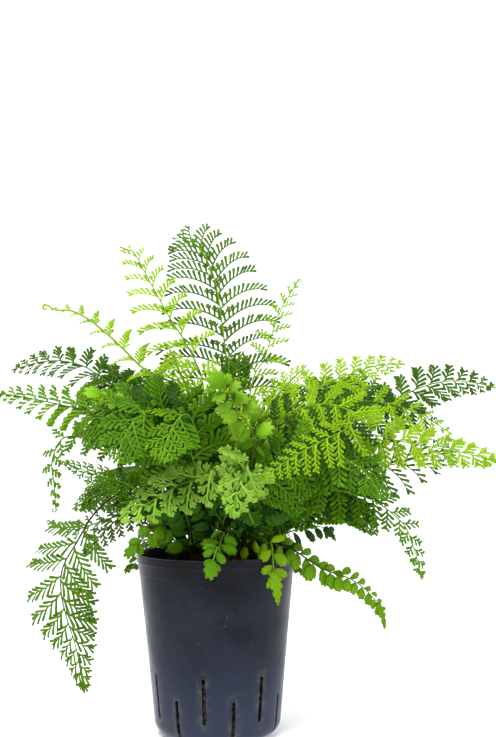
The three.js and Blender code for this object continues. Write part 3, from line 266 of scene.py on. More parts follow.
# Each frond: outline kind, tone, bare share of the stalk, pinna pairs, crowding, angles, droop, longest pinna,
# facing at foot and tip, stalk points (mm), and pinna lengths on each side.
FRONDS = [
    dict(name="frond_back_tall", kind="A", tone="dark", st=0.42, n=13, q=0.42, a0=72, a1=42, dr=0.18, ml=84, f0=[0, -0.97, 0.243], f1=[0.094, -0.94, 0.329],
         P=[[2.3, 7.9, 178.1], [7.7, 10.5, 200.5], [11.7, 21.7, 296.2], [14.5, 26.7, 367.6], [11.3, 36.2, 385.3], [8.2, 46.8, 411.6], [4.6, 56.8, 438.3], [0.5, 66.1, 463.1], [-7.5, 74.6, 484.9], [-17.2, 81.5, 501.5], [-30.1, 87, 509.5], [-42.1, 92, 516.5]],
         len=[[13.9, 21.6, 21.2, 67.3, 63, 58.2, 53.1, 47.6, 41.7, 35.3, 28.3, 20.2, 9.8],
              [69.6, 72.1, 70.6, 67.3, 63, 58.2, 53.1, 47.6, 41.7, 35.3, 28.3, 20.2, 9.8]]),
    dict(name="frond_top_left", kind="A", tone="bright", st=0.42, n=10, q=0.42, a0=72, a1=42, dr=0.18, ml=50, f0=[0.233, -0.931, 0.279], f1=[0.309, -0.883, 0.353],
         P=[[-6.1, 6.3, 178], [-5.8, 9.2, 199.6], [-11, 13.2, 286.6], [-12.4, 16, 353.4], [-20.6, 22.7, 379.2], [-34.1, 29.6, 404.3], [-47.7, 35.7, 425.9], [-62.5, 43.1, 453], [-74.2, 48.9, 474.4], [-84.9, 54.1, 493.7], [-99.9, 58, 500.5]],
         len=[[16.8, 8.5, 32.5, 37.4, 33.6, 29.5, 25, 20, 14.3, 6.9],
              [41.9, 42.7, 40.6, 37.4, 33.6, 29.5, 25, 20, 14.3, 6.9]]),
    dict(name="frond_left_young", kind="A", tone="bright", st=0.45, n=9, q=0.42, a0=72, a1=42, dr=0.18, ml=26, f0=[0.287, -0.766, 0.575], f1=[0.267, -0.802, 0.535],
         P=[[-10.2, 3.1, 177.8], [-14.4, 4.3, 199.4], [-40.3, 7.6, 288.5], [-60.4, 10, 355.9], [-80.2, 17.4, 377.7], [-102.3, 25.1, 399.7], [-128.8, 33.6, 421.9], [-149.1, 39.2, 432.7], [-166.3, 43.3, 434], [-176, 46, 439.5]],
         len=[[21.9, 22.1, 20.7, 18.7, 16.4, 13.9, 11.2, 8, 4],
              [21.9, 22.1, 20.7, 18.7, 16.4, 13.9, 11.2, 8, 4]]),
    dict(name="frond_left_upper", kind="A", tone="dark", st=0.42, n=12, q=0.42, a0=72, a1=42, dr=0.18, ml=36, f0=[0.182, -0.818, 0.545], f1=[0.097, -0.87, 0.483],
         P=[[-15.5, 3, 176.9], [-21.7, 3, 198.2], [-47.5, 15.5, 276.5], [-67.7, 25.6, 337.2], [-104, 40.9, 354], [-123.6, 50.7, 365.6], [-140.2, 59.2, 375.2], [-162.9, 68.8, 380.7], [-188.1, 78.8, 379.9], [-221.1, 92, 371.7]],
         len=[[0, 30.9, 0, 0, 26.3, 24, 21.5, 18.8, 16, 12.8, 9.1, 4.4],
              [29.9, 30.9, 30, 28.3, 26.3, 24, 21.5, 18.8, 16, 12.8, 9.1, 4.4]]),
    dict(name="frond_left_lower", kind="A", tone="mid", st=0.4, n=12, q=0.42, a0=72, a1=42, dr=0.18, ml=36, f0=[0.092, -0.829, 0.552], f1=[0, -0.885, 0.466],
         P=[[-16.8, -2.1, 176.6], [-23.5, -3.2, 197.5], [-52.4, -6.8, 258.3], [-75.9, -10, 307.6], [-96.5, -4.8, 321.8], [-119.3, 0, 327], [-142.2, 4.8, 332.2], [-162.1, 9, 336.4], [-186.3, 14, 341.6], [-209.6, 18.8, 345.9], [-225.5, 22, 347]],
         len=[[29.9, 24.7, 30, 28.3, 26.3, 24, 21.5, 18.8, 16, 12.8, 9.1, 4.4],
              [15, 21.6, 24, 28.3, 26.3, 24, 21.5, 18.8, 16, 12.8, 9.1, 4.4]]),
    dict(name="frond_left_hanging", kind="A", tone="dark", st=0.46, n=12, q=0.42, a0=72, a1=42, dr=0.18, ml=58, f0=[-0.098, -0.195, 0.976], f1=[-0.44, -0.88, 0.176],
         P=[[-20.4, -10.5, 174.6], [-27.9, -14.3, 193.7], [-47.1, -22.3, 217.1], [-65.2, -30, 242.2], [-96.8, -35.4, 245.9], [-120.4, -40.5, 227.6], [-137, -45.9, 200.5], [-150.5, -50.7, 176.4], [-152.2, -54.9, 152.3], [-146, -59.5, 126.4], [-136.9, -64.5, 98.6], [-128.7, -72, 56.9]],
         len=[[48.2, 49.8, 48.4, 45.6, 42.3, 38.6, 34.6, 30.3, 25.7, 20.6, 14.7, 7.1],
              [48.2, 49.8, 48.4, 45.6, 42.3, 38.6, 34.6, 30.3, 25.7, 20.6, 14.7, 7.1]]),
    dict(name="frond_left_drooping", kind="A", tone="mid", st=0.42, n=10, q=0.42, a0=72, a1=42, dr=0.18, ml=22, f0=[0, -0.707, 0.707], f1=[-0.477, -0.858, 0.191],
         P=[[-21, -5.2, 175.2], [-29.1, -7.3, 195.5], [-48.4, -14.1, 238.9], [-65.5, -20, 277.7], [-100.6, -19.5, 294.1], [-124.8, -19.2, 301.4], [-142.9, -19, 304.5], [-156.1, -18.8, 299.6], [-164.4, -18.6, 278.5], [-162.6, -18.3, 256.3], [-160.8, -18, 230]],
         len=[[7.4, 9.4, 16.1, 16.4, 14.8, 13, 11, 8.8, 6.3, 4],
              [18.4, 18.8, 17.9, 16.4, 14.8, 13, 11, 8.8, 6.3, 4]]),
    dict(name="frond_left_short", kind="A", tone="mid", st=0.48, n=8, q=0.42, a0=72, a1=42, dr=0.18, ml=20, f0=[0, -0.817, 0.577], f1=[-0.097, -0.87, 0.483],
         P=[[-12.4, -13.9, 176.2], [-17.7, -18.8, 197], [-53.5, -33.4, 227.2], [-83.9, -46, 255.6], [-109.2, -61.4, 265.8], [-123.1, -69.9, 271.3], [-144.8, -84, 282.1]],
         len=[[16.9, 16.9, 15.5, 13.6, 11.6, 9.3, 6.6, 4],
              [16.9, 16.9, 15.5, 13.6, 11.6, 9.3, 6.6, 4]]),
    dict(name="frond_left_curled", kind="A", tone="mid", st=0.48, n=9, q=0.42, a0=72, a1=42, dr=0.18, ml=18, f0=[0, -0.817, 0.577], f1=[0, -0.874, 0.486],
         P=[[-23.6, 0.8, 174.3], [-30.4, 1.1, 189.7], [-67.6, 8, 224.9], [-97.4, 20.9, 220.9], [-127.7, 34.3, 210.6], [-154, 45.6, 203.4], [-177.2, 56, 212.1]],
         len=[[15.1, 15.3, 14.3, 12.9, 11.4, 9.6, 7.7, 5.5, 4],
              [15.1, 15.3, 14.3, 12.9, 11.4, 9.6, 7.7, 5.5, 4]]),
    dict(name="frond_top_right", kind="A", tone="bright", st=0.45, n=10, q=0.42, a0=72, a1=42, dr=0.18, ml=30, f0=[-0.233, -0.931, 0.279], f1=[-0.276, -0.921, 0.276],
         P=[[7.5, 8.7, 177.7], [13, 13, 198.2], [26.7, 20.3, 290.1], [39.2, 26, 359], [51.3, 31.6, 380.7], [59.5, 37.7, 406.8], [69.2, 43.7, 431.9], [78.9, 48, 448.8], [88.2, 52, 464.1]],
         len=[[22.6, 25.6, 24.4, 22.4, 20.2, 17.7, 15, 12, 8.6, 4.2],
              [20.1, 5.1, 4.9, 22.4, 20.2, 17.7, 15, 12, 8.6, 4.2]]),
    dict(name="frond_right_top", kind="A", tone="bright", st=0.38, n=11, q=0.42, a0=72, a1=42, dr=0.18, ml=38, f0=[-0.189, -0.802, 0.566], f1=[-0.097, -0.87, 0.483],
         P=[[11.3, 4.9, 177.6], [16.7, 5.9, 198.4], [43.7, 5.2, 262], [66.3, 4, 312.9], [87.2, 10.6, 338.2], [113.3, 16.7, 353.3], [139.5, 22.3, 364.4], [167.9, 28.2, 372.4], [197.5, 34, 374.2]],
         len=[[31.7, 16.3, 12.5, 20.5, 26.8, 24, 21.1, 17.8, 14.3, 10.2, 4.9],
              [31.7, 26, 31.3, 29.2, 26.8, 24, 21.1, 17.8, 14.3, 10.2, 4.9]]),
    dict(name="frond_right_upper", kind="A", tone="dark", st=0.42, n=12, q=0.42, a0=72, a1=42, dr=0.18, ml=38, f0=[0, -0.8, 0.6], f1=[0, -0.922, 0.388],
         P=[[16.4, 3.6, 176.7], [23, 6.4, 194.6], [70.1, 17.2, 254.5], [108.1, 28, 299.3], [150.7, 41.8, 316.1], [179.9, 51.4, 330.3], [196.9, 57.3, 340.5], [221.6, 65.1, 350.8], [249.1, 73.2, 355.8], [276.8, 81.2, 353.3], [300.3, 88, 347.7]],
         len=[[31.6, 32.6, 31.7, 29.9, 27.7, 25.3, 22.7, 19.9, 16.8, 13.5, 9.6, 4.7],
              [15.8, 22.8, 22.2, 9, 13.9, 25.3, 22.7, 19.9, 16.8, 13.5, 9.6, 4.7]]),
    dict(name="frond_right_long", kind="B", tone="bright", st=0.26, n=14, q=0.42, a0=74, a1=44, dr=0.3, ml=44, f0=[-0.096, -0.813, 0.574], f1=[0, -0.874, 0.486],
         P=[[14.4, -5.7, 177], [20.2, -8, 198], [29, -22.1, 239.5], [37.3, -34, 277.6], [61.3, -38.9, 292.6], [92, -44.5, 299.5], [122.5, -49.9, 304.4], [151.8, -55.1, 305.4], [182.7, -60.9, 298.4], [218.3, -67.4, 291.6], [248.7, -73.1, 285.7], [274.2, -78, 277.5]],
         len=[[36.3, 37.8, 37.2, 35.7, 33.8, 31.5, 29.1, 26.5, 23.7, 20.8, 17.6, 14.1, 10.1, 4.9],
              [0, 26.4, 37.2, 35.7, 33.8, 31.5, 29.1, 26.5, 23.7, 20.8, 17.6, 14.1, 10.1, 4.9]]),
    dict(name="frond_right_slender", kind="A", tone="dark", st=0.45, n=9, q=0.42, a0=72, a1=42, dr=0.18, ml=44, f0=[0, -0.8, 0.6], f1=[0, -0.862, 0.507],
         P=[[21.6, -2.4, 175.1], [30, -3.6, 195.5], [77.4, 3, 227.7], [117.1, 8, 256], [148.7, 18.7, 265.3], [180.6, 29, 269.5], [202.1, 36, 274.1], [231.4, 45.6, 281.7], [252.1, 52, 281.2]],
         len=[[37, 37.4, 35, 31.6, 27.8, 23.6, 18.9, 13.5, 6.5],
              [37, 37.4, 35, 31.6, 27.8, 23.6, 18.9, 13.5, 6.5]]),
    dict(name="frond_right_arching", kind="B", tone="mid", st=0.3, n=12, q=0.42, a0=74, a1=44, dr=0.3, ml=40, f0=[0, -0.659, 0.753], f1=[0.466, -0.839, 0.28],
         P=[[16.6, -10.7, 175.8], [22, -15.9, 196.7], [56.3, -37.3, 231.6], [84.5, -52.1, 262.9], [120.9, -62, 251], [144.9, -68.5, 245.4], [162.5, -73.8, 236.9], [175.6, -78.3, 226.4], [185.8, -82.3, 215.6], [190.2, -86, 202.8], [194.5, -89.7, 189.7], [199.4, -96, 167.3]],
         len=[[33.3, 34.3, 33.3, 31.5, 29.2, 26.6, 23.9, 20.9, 17.7, 14.2, 10.1, 4.9],
              [33.3, 34.3, 33.3, 31.5, 29.2, 26.6, 23.9, 20.9, 17.7, 14.2, 10.1, 4.9]]),
    dict(name="frond_front_left_broad", kind="C", tone="pale", st=0.34, n=6, q=0.35, a0=64, a1=36, dr=0.16, ml=38, f0=[0, -0.874, 0.486], f1=[-0.185, -0.927, 0.325],
         P=[[-8.2, -17, 176.1], [-11, -24.3, 196.7], [-3.7, -49.6, 236.3], [2, -72, 272.3], [-16.8, -79.9, 264.7], [-35.5, -87.7, 258.2], [-59.1, -98.5, 244.8], [-71.2, -104, 238.6], [-88.9, -112, 230]],
         len=[[16.2, 30.9, 26.5, 21.3, 15.2, 7.4],
              [26, 30.9, 26.5, 21.3, 15.2, 7.4]]),
    dict(name="frond_front_centre_broad", kind="C", tone="pale", st=0.42, n=6, q=0.35, a0=64, a1=36, dr=0.16, ml=36, f0=[0, -0.874, 0.486], f1=[0, -0.958, 0.287],
         P=[[2.8, -15.7, 176.9], [3.9, -22.1, 197.9], [20.6, -59.2, 242.9], [34.3, -90, 280.8], [28.4, -97, 271.7], [24.5, -104.5, 260.8], [21.6, -112, 249.9], [16.8, -124, 232.5]],
         len=[[0, 29.2, 25.1, 20.2, 14.4, 7],
              [12.3, 29.2, 25.1, 20.2, 14.4, 7]]),
    dict(name="frond_juvenile_rim_left", kind="D", tone="mid", st=0.16, n=6, q=0.15, a0=72, a1=46, dr=0.25, ml=20, f0=[0, -0.514, 0.857], f1=[-0.488, -0.781, 0.39],
         P=[[-18.1, -20.5, 171.8], [-21.9, -24.8, 182.7], [-43.4, -30.1, 213], [-55.1, -35.4, 214.6], [-67.7, -42.1, 207.4], [-77.3, -48.7, 197.3], [-86.8, -56, 185.4]],
         len=[[0, 0, 14.8, 14.6, 11.6, 7.1],
              [16.5, 17, 16.4, 14.6, 11.6, 7.1]]),
    dict(name="frond_juvenile_front_centre", kind="D", tone="mid", st=0.18, n=6, q=0.15, a0=72, a1=46, dr=0.25, ml=20, f0=[0, -0.514, 0.857], f1=[0, -0.981, 0.196],
         P=[[-3.5, -26.5, 172.3], [-4.3, -32.1, 183.4], [9, -56, 210.1], [5.1, -64.1, 200.4], [4.2, -73.2, 193.4], [2.3, -81.6, 197.3], [-5.3, -94, 169.7]],
         len=[[16.5, 17, 16.4, 14.6, 11.6, 7.1],
              [0, 5.1, 16.4, 14.6, 11.6, 7.1]]),
    dict(name="frond_juvenile_front_right", kind="D", tone="bright", st=0.18, n=7, q=0.15, a0=72, a1=46, dr=0.25, ml=18, f0=[0, -0.514, 0.857], f1=[0.098, -0.976, 0.195],
         P=[[14, -22.4, 172.6], [16.9, -27.1, 183.5], [42.5, -48, 203.3], [52.2, -54.8, 198.5], [55.9, -61.9, 197.1], [57.6, -69.3, 173.4], [61.2, -80, 143.2]],
         len=[[14.8, 15.3, 15.1, 7.1, 12.3, 9.7, 6],
              [3, 6.1, 15.1, 14.1, 12.3, 9.7, 6]]),
    dict(name="frond_juvenile_right_trailing", kind="D", tone="mid", st=0.16, n=12, q=0.15, a0=72, a1=46, dr=0.25, ml=18, f0=[0, -0.555, 0.832], f1=[0.432, -0.864, 0.259],
         P=[[23.6, -14, 171.8], [28.3, -16.8, 182.4], [52.6, -30, 197], [77.3, -36.3, 189.7], [105.8, -44.1, 171.7], [129.2, -50, 164], [142.7, -53.8, 156.4], [154.6, -57.9, 145.1], [165.3, -62.9, 128], [166.9, -66, 115.7]],
         len=[[14.7, 12, 7.6, 15.3, 15, 14.5, 13.7, 12.6, 11.2, 9.6, 7.6, 4.9],
              [14.7, 15.1, 15.3, 15.3, 15, 14.5, 13.7, 12.6, 11.2, 9.6, 7.6, 4.9]]),
    dict(name="frond_juvenile_right_small", kind="D", tone="deep", st=0.16, n=8, q=0.15, a0=72, a1=46, dr=0.25, ml=17, f0=[0, -0.555, 0.832], f1=[0.505, -0.808, 0.303],
         P=[[26.6, -6.6, 171.8], [32, -8, 182.5], [65, -10, 200.9], [85.5, -4, 207.2], [108.2, 2.4, 208.5], [122.7, 8, 193.4]],
         len=[[13.9, 14.4, 14.4, 13.8, 12.7, 10.9, 8.6, 5.4],
              [13.9, 14.4, 14.4, 13.8, 12.7, 10.9, 8.6, 5.4]]),
    dict(name="frond_centre_round", kind="D", tone="lime", st=0.56, n=5, q=0.15, a0=72, a1=46, dr=0.25, ml=27, f0=[0.095, -0.953, 0.286], f1=[0, -0.944, 0.33],
         P=[[3.9, -8.4, 178], [5.5, -11.9, 199.6], [21.7, -38, 236.9], [35.2, -60, 271.2], [40.3, -71.7, 301.2], [31.7, -79.4, 319.1], [22.2, -86, 332.9], [15.6, -91.7, 345.6], [7.1, -97.7, 358.3], [-4.1, -104, 369]],
         len=[[22.4, 22.9, 21.2, 17, 10.4],
              [22.4, 22.9, 21.2, 17, 10.4]]),
    dict(name="frond_left_small", kind="A", tone="dark", st=0.44, n=8, q=0.42, a0=72, a1=42, dr=0.18, ml=24, f0=[0, -0.731, 0.682], f1=[-0.291, -0.874, 0.389],
         P=[[-22.8, -15.2, 171.8], [-29.7, -19.8, 187.9], [-47.3, -19.1, 209], [-63.9, -20, 231.3], [-85.9, -22.6, 227.7], [-102.9, -25, 217], [-117.9, -27.4, 202.4], [-132.8, -30, 186.8]],
         len=[[20.3, 20.2, 18.6, 16.4, 13.9, 11.1, 7.9, 4],
              [20.3, 20.2, 18.6, 16.4, 13.9, 11.1, 7.9, 4]]),
    dict(name="frond_centre_left_bright", kind="A", tone="bright", st=0.4, n=10, q=0.42, a0=72, a1=42, dr=0.18, ml=42, f0=[0.176, -0.88, 0.44], f1=[0.088, -0.704, 0.704],
         P=[[-7.5, 11.8, 177.3], [-10.5, 15.6, 198.8], [-11.8, 3.7, 233.6], [-9.6, -4, 268.1], [-16.4, 1.1, 313.8], [-29.5, 5.7, 354.7], [-45.8, 10, 390.7]],
         len=[[17.6, 25.1, 34.1, 31.4, 28.2, 12.4, 21, 16.8, 12, 5.8],
              [35.2, 35.9, 34.1, 31.4, 28.2, 24.8, 21, 16.8, 12, 5.8]]),
    dict(name="frond_centre_upright", kind="B", tone="mid", st=0.4, n=9, q=0.42, a0=74, a1=44, dr=0.3, ml=46, f0=[0, -0.894, 0.447], f1=[0, -0.614, 0.789],
         P=[[0.4, 14.5, 177.2], [1.2, 19.6, 198.6], [3.8, 13.3, 237.9], [6.3, -10.2, 276.2], [9.3, 50.1, 322], [18.4, 36.6, 359.2], [29, 44, 388.3]],
         len=[[19.4, 0, 0, 33.1, 29.1, 17.3, 17.8, 14.1, 6.8],
              [0, 15.6, 36.6, 33.1, 29.1, 24.7, 19.7, 14.1, 6.8]]),
    dict(name="frond_centre_right_bright", kind="A", tone="bright", st=0.4, n=10, q=0.42, a0=72, a1=42, dr=0.18, ml=40, f0=[-0.39, -0.781, 0.488], f1=[0, -0.614, 0.789],
         P=[[14.4, 10.1, 176.4], [19.2, 14.9, 197.7], [23.8, 3.4, 237.9], [28.2, -6, 276], [47.8, -15.5, 318.8], [69.1, -23.1, 349.1], [92.2, -30, 373]],
         len=[[0, 10.3, 22.7, 17.9, 26.9, 23.6, 20, 16, 11.4, 5.5],
              [10.1, 13.7, 32.5, 29.9, 26.9, 23.6, 20, 16, 11.4, 5.5]]),
    dict(name="frond_left_mid_dense", kind="B", tone="mid", st=0.34, n=10, q=0.42, a0=74, a1=44, dr=0.3, ml=58, f0=[0, -0.731, 0.682], f1=[-0.376, -0.847, 0.376],
         P=[[-12.4, -5, 177.4], [-17.4, -7.1, 198.7], [-23.1, -19.4, 239.8], [-28.8, -30, 277.9], [-49.1, -38.3, 315.5], [-75.4, -44.6, 332.8], [-104.7, -50.7, 325.3], [-126, -58, 296.2]],
         len=[[48.6, 49.5, 47.1, 43.4, 39, 34.2, 29, 23.2, 16.6, 8],
              [48.6, 49.5, 47.1, 43.4, 39, 34.2, 29, 23.2, 16.6, 8]]),
    dict(name="frond_left_front_dense", kind="B", tone="mid", st=0.34, n=10, q=0.42, a0=74, a1=44, dr=0.3, ml=62, f0=[0, -0.8, 0.6], f1=[-0.272, -0.908, 0.318],
         P=[[-9, -9.8, 177.4], [-12.7, -13.8, 198.7], [-15.2, -36.6, 236.3], [-18, -56, 271.5], [-32.6, -74.6, 313.7], [-55.1, -87.1, 331.7], [-77.6, -98.6, 318.8], [-93.7, -116, 283.5]],
         len=[[51.9, 10.6, 10.1, 46.3, 41.7, 36.6, 31, 24.8, 17.7, 8.6],
              [51.9, 53, 50.4, 46.3, 41.7, 36.6, 31, 24.8, 17.7, 8.6]]),
    dict(name="frond_left_low", kind="B", tone="mid", st=0.22, n=10, q=0.42, a0=74, a1=44, dr=0.3, ml=36, f0=[0, -0.8, 0.6], f1=[-0.392, -0.832, 0.392],
         P=[[-26.3, -5.1, 172.3], [-34.4, -6.6, 188.4], [-45.2, -4.9, 213], [-56.6, -4, 238], [-89.7, 4.2, 252], [-121.1, 11.5, 243.5], [-146.6, 18, 228.8]],
         len=[[9, 6.2, 29.2, 26.9, 24.2, 21.2, 18, 14.4, 10.3, 5],
              [30.2, 30.8, 29.2, 26.9, 24.2, 21.2, 18, 14.4, 10.3, 5]]),
    dict(name="frond_right_mid_bright", kind="B", tone="bright", st=0.34, n=11, q=0.42, a0=74, a1=44, dr=0.3, ml=40, f0=[0, -0.8, 0.6], f1=[0.097, -0.87, 0.483],
         P=[[13.2, -0.6, 177.4], [18.3, -1.3, 198.7], [28.2, -4.8, 238.6], [37.3, -8, 276.1], [78.3, -5.2, 310.1], [122.3, -2.6, 333], [170.4, -0.1, 335.6], [211.3, 2.1, 320.9], [242, 4, 302.2]],
         len=[[33.4, 34.3, 33, 30.8, 28.2, 25.3, 22.2, 18.8, 15, 10.7, 5.2],
              [33.4, 0, 13.2, 21.5, 22.5, 25.3, 22.2, 18.8, 15, 10.7, 5.2]]),
    dict(name="frond_right_front_dense", kind="B", tone="mid", st=0.32, n=10, q=0.42, a0=74, a1=44, dr=0.3, ml=50, f0=[0, -0.8, 0.6], f1=[0.272, -0.908, 0.318],
         P=[[12.5, -14, 176.1], [17, -19.8, 196.7], [33, -44.5, 230.2], [46.8, -66, 261.7], [76, -80.8, 285.8], [112.2, -95.5, 290.1], [141.8, -109.7, 273.4], [161.3, -124, 245.8]],
         len=[[41.9, 42.7, 40.6, 37.4, 33.6, 29.5, 25, 20, 14.3, 6.9],
              [8.4, 21.4, 40.6, 37.4, 33.6, 29.5, 25, 20, 14.3, 6.9]]),
    dict(name="frond_right_low_dense", kind="B", tone="mid", st=0.2, n=10, q=0.42, a0=74, a1=44, dr=0.3, ml=38, f0=[0, -0.8, 0.6], f1=[0.376, -0.847, 0.376],
         P=[[21.6, -9, 174.4], [28, -11.2, 188.8], [50.9, -27.5, 226.9], [76.9, -33.1, 239.2], [110.7, -37.9, 241.3], [140.2, -42, 229.4], [159.5, -46, 205.8]],
         len=[[0, 0, 30.9, 28.4, 25.5, 22.4, 19, 15.2, 10.9, 5.3],
              [0, 32.5, 30.9, 28.4, 25.5, 22.4, 19, 15.2, 10.9, 5.3]]),
    dict(name="frond_right_upright", kind="B", tone="mid", st=0.4, n=9, q=0.42, a0=74, a1=44, dr=0.3, ml=38, f0=[-0.28, -0.839, 0.466], f1=[0, -0.817, 0.577],
         P=[[19.8, 8.7, 175.1], [27, 13.1, 195.5], [42.2, 15.5, 236.5], [55.9, 16, 274.5], [93.8, 32.8, 306.5], [130.5, 51, 339.1], [159, 62.4, 366.2]],
         len=[[32, 19.4, 12.1, 5.5, 14.4, 16.3, 0, 11.6, 5.6],
              [12.8, 12.9, 30.2, 27.3, 24, 20.4, 16.3, 11.6, 5.6]]),
    dict(name="frond_left_lime_round", kind="D", tone="lime", st=0.44, n=7, q=0.15, a0=72, a1=46, dr=0.25, ml=20, f0=[0, -0.753, 0.659], f1=[0, -0.753, 0.659],
         P=[[-15.3, -9.5, 176.4], [-21.3, -13.2, 197.2], [-32.2, -29.8, 240.1], [-42.2, -44, 278.9], [-66.8, -57.4, 317.3], [-91.5, -66.9, 337.4], [-110.4, -73.1, 345.5], [-125.4, -78, 350.6]],
         len=[[16.5, 17, 16.8, 15.7, 13.7, 10.8, 6.7],
              [16.5, 17, 16.8, 15.7, 13.7, 10.8, 6.7]]),
    dict(name="frond_front_left_inner", kind="D", tone="deep", st=0.16, n=7, q=0.15, a0=72, a1=46, dr=0.25, ml=22, f0=[0, -0.874, 0.486], f1=[-0.183, -0.913, 0.365],
         P=[[-17.5, -15.2, 174.5], [-21.6, -18.8, 186.7], [-27, -40, 220.8], [-34.5, -47.6, 233.4], [-48, -55, 236.2], [-61.3, -64, 227.3]],
         len=[[0, 13.1, 18.5, 17.3, 15, 11.9, 7.4],
              [0, 13.1, 18.5, 17.3, 15, 11.9, 7.4]]),
    dict(name="frond_front_right_inner", kind="D", tone="deep", st=0.16, n=7, q=0.15, a0=72, a1=46, dr=0.25, ml=22, f0=[0, -0.874, 0.486], f1=[0.268, -0.894, 0.358],
         P=[[18.2, -16.4, 173.8], [22.6, -20.3, 186.4], [40.7, -44, 216.6], [54.6, -53.6, 231.2], [72.1, -62.3, 233.8], [87.4, -72, 222.8]],
         len=[[18.1, 5.6, 18.5, 17.3, 15, 11.9, 7.4],
              [5.4, 7.5, 11.1, 17.3, 15, 11.9, 7.4]]),
    dict(name="frond_front_low", kind="C", tone="deep", st=0.2, n=6, q=0.35, a0=64, a1=36, dr=0.16, ml=30, f0=[0, -0.874, 0.486], f1=[0.094, -0.94, 0.329],
         P=[[-5.6, -21.6, 174.9], [-6.8, -26.3, 186.3], [7, -48, 215.3], [13.2, -59.2, 234], [21.2, -65.9, 242.4], [30.9, -73.4, 235.1], [38.6, -84, 220.4]],
         len=[[0, 0, 20.9, 16.8, 12, 5.8],
              [10.2, 17.1, 12.6, 0, 12, 5.8]]),
    dict(name="frond_front_left_high", kind="B", tone="mid", st=0.32, n=10, q=0.42, a0=74, a1=44, dr=0.3, ml=52, f0=[0, -0.756, 0.655], f1=[-0.185, -0.927, 0.325],
         P=[[-4, -11.5, 177.6], [-5.7, -16.2, 199], [-7, -30.9, 236.7], [-8.5, -44, 272.6], [-17.1, -74.3, 311.6], [-26.1, -88.9, 327.6], [-39, -104.2, 314.8], [-49.3, -132, 284]],
         len=[[43.6, 44.4, 42.2, 38.9, 35, 24.5, 20.8, 20.8, 14.9, 7.2],
              [26.1, 44.4, 0, 0, 35, 30.7, 26, 20.8, 14.9, 7.2]]),
    dict(name="frond_front_right_high", kind="B", tone="bright", st=0.5, n=12, q=0.42, a0=74, a1=44, dr=0.3, ml=42, f0=[0.1, -0.796, 0.597], f1=[-0.147, -0.885, 0.442],
         P=[[8.9, -10.1, 177.4], [12.5, -14.2, 198.7], [19, -22.3, 237], [25.2, -30, 273.5], [47.4, -46.2, 306], [76.9, -61.8, 327.9], [109.6, -76.4, 335.8], [135.1, -88.3, 327.1], [130.7, -94.4, 313.9], [104, -107.1, 301.2], [73, -122.4, 285.2], [44.4, -138, 265.8]],
         len=[[24.4, 36, 35, 33.1, 30.6, 28, 25.1, 22, 18.6, 14.9, 10.6, 5.2],
              [34.9, 36, 35, 33.1, 30.6, 28, 25.1, 22, 18.6, 14.9, 10.6, 5.2]]),
    dict(name="frond_left_side_high", kind="B", tone="mid", st=0.34, n=10, q=0.42, a0=74, a1=44, dr=0.3, ml=46, f0=[0.198, -0.693, 0.693], f1=[-0.303, -0.808, 0.505],
         P=[[-20, 5.7, 175.5], [-27.5, 8.2, 196], [-34.6, 15.2, 250.8], [-40.8, 18, 298], [-78.8, 37.3, 343.3], [-108.8, 48.2, 356], [-134.8, 55.4, 347.7], [-150.7, 64, 322.3]],
         len=[[38.5, 39.3, 37.4, 34.4, 30.9, 27.1, 23, 18.4, 13.2, 6.4],
              [7.7, 0, 0, 34.4, 0, 0, 11.5, 18.4, 13.2, 6.4]]),
    dict(name="frond_right_side_high", kind="B", tone="mid", st=0.34, n=10, q=0.42, a0=74, a1=44, dr=0.3, ml=44, f0=[-0.198, -0.693, 0.693], f1=[0.303, -0.808, 0.505],
         P=[[21.7, 2.9, 175.1], [29.3, 1.5, 199], [39.3, 16.4, 246.5], [47.9, 30, 290.4], [88.1, 41.2, 333.4], [134.7, 48.6, 345.4], [177.4, 58.2, 338.6], [209.7, 66, 314.8]],
         len=[[7.4, 15, 32.2, 32.9, 29.6, 23.4, 11, 3.5, 12.6, 6.1],
              [36.9, 37.6, 35.7, 32.9, 11.8, 0, 22, 17.6, 12.6, 6.1]]),
    dict(name="frond_back_left_high", kind="A", tone="mid", st=0.34, n=11, q=0.42, a0=72, a1=42, dr=0.18, ml=54, f0=[0.49, -0.633, 0.6], f1=[-0.142, 0.51, 0.849],
         P=[[-11, 15.8, 176], [-16.8, 22.1, 209.6], [-22.6, 30.5, 256.6], [-33.2, 42.6, 292.6], [-46, 56.3, 317.1], [-60.8, 71.3, 329.3], [-75.3, 85.4, 329.1], [-88.7, 98.2, 320]],
         len=[[13.5, 23.1, 31.2, 41.6, 38, 34.1, 29.9, 25.4, 20.3, 14.5, 7],
              [18, 23.1, 31.2, 41.6, 38, 34.1, 29.9, 25.4, 20.3, 14.5, 7]]),
    dict(name="frond_back_right_high", kind="A", tone="bright", st=0.34, n=11, q=0.42, a0=72, a1=42, dr=0.18, ml=54, f0=[-0.347, -0.721, 0.6], f1=[0.233, 0.451, 0.862],
         P=[[8.3, 15.3, 176.5], [11.2, 20.5, 209.4], [18.5, 31.8, 254.4], [28, 45.4, 289], [39.6, 61, 312.3], [53, 78.2, 323.4], [66.2, 94.5, 322.3], [78.6, 109.2, 312.5]],
         len=[[18, 18.5, 22.3, 41.6, 38, 34.1, 29.9, 25.4, 20.3, 14.5, 7],
              [22.5, 23.1, 22.3, 37.4, 38, 34.1, 29.9, 25.4, 20.3, 14.5, 7]]),
    dict(name="frond_back_high", kind="B", tone="mid", st=0.34, n=11, q=0.42, a0=74, a1=44, dr=0.3, ml=52, f0=[-0.1, -0.8, 0.592], f1=[-0.271, 0.474, 0.838],
         P=[[-1.5, 19.5, 175.9], [-2.8, 27, 206.7], [-2.1, 41.2, 249.1], [-3.8, 59, 281.6], [-8.7, 79.9, 302.2], [-12.2, 103.4, 310.8], [-15.7, 125.9, 307.5], [-19, 146.5, 295.9]],
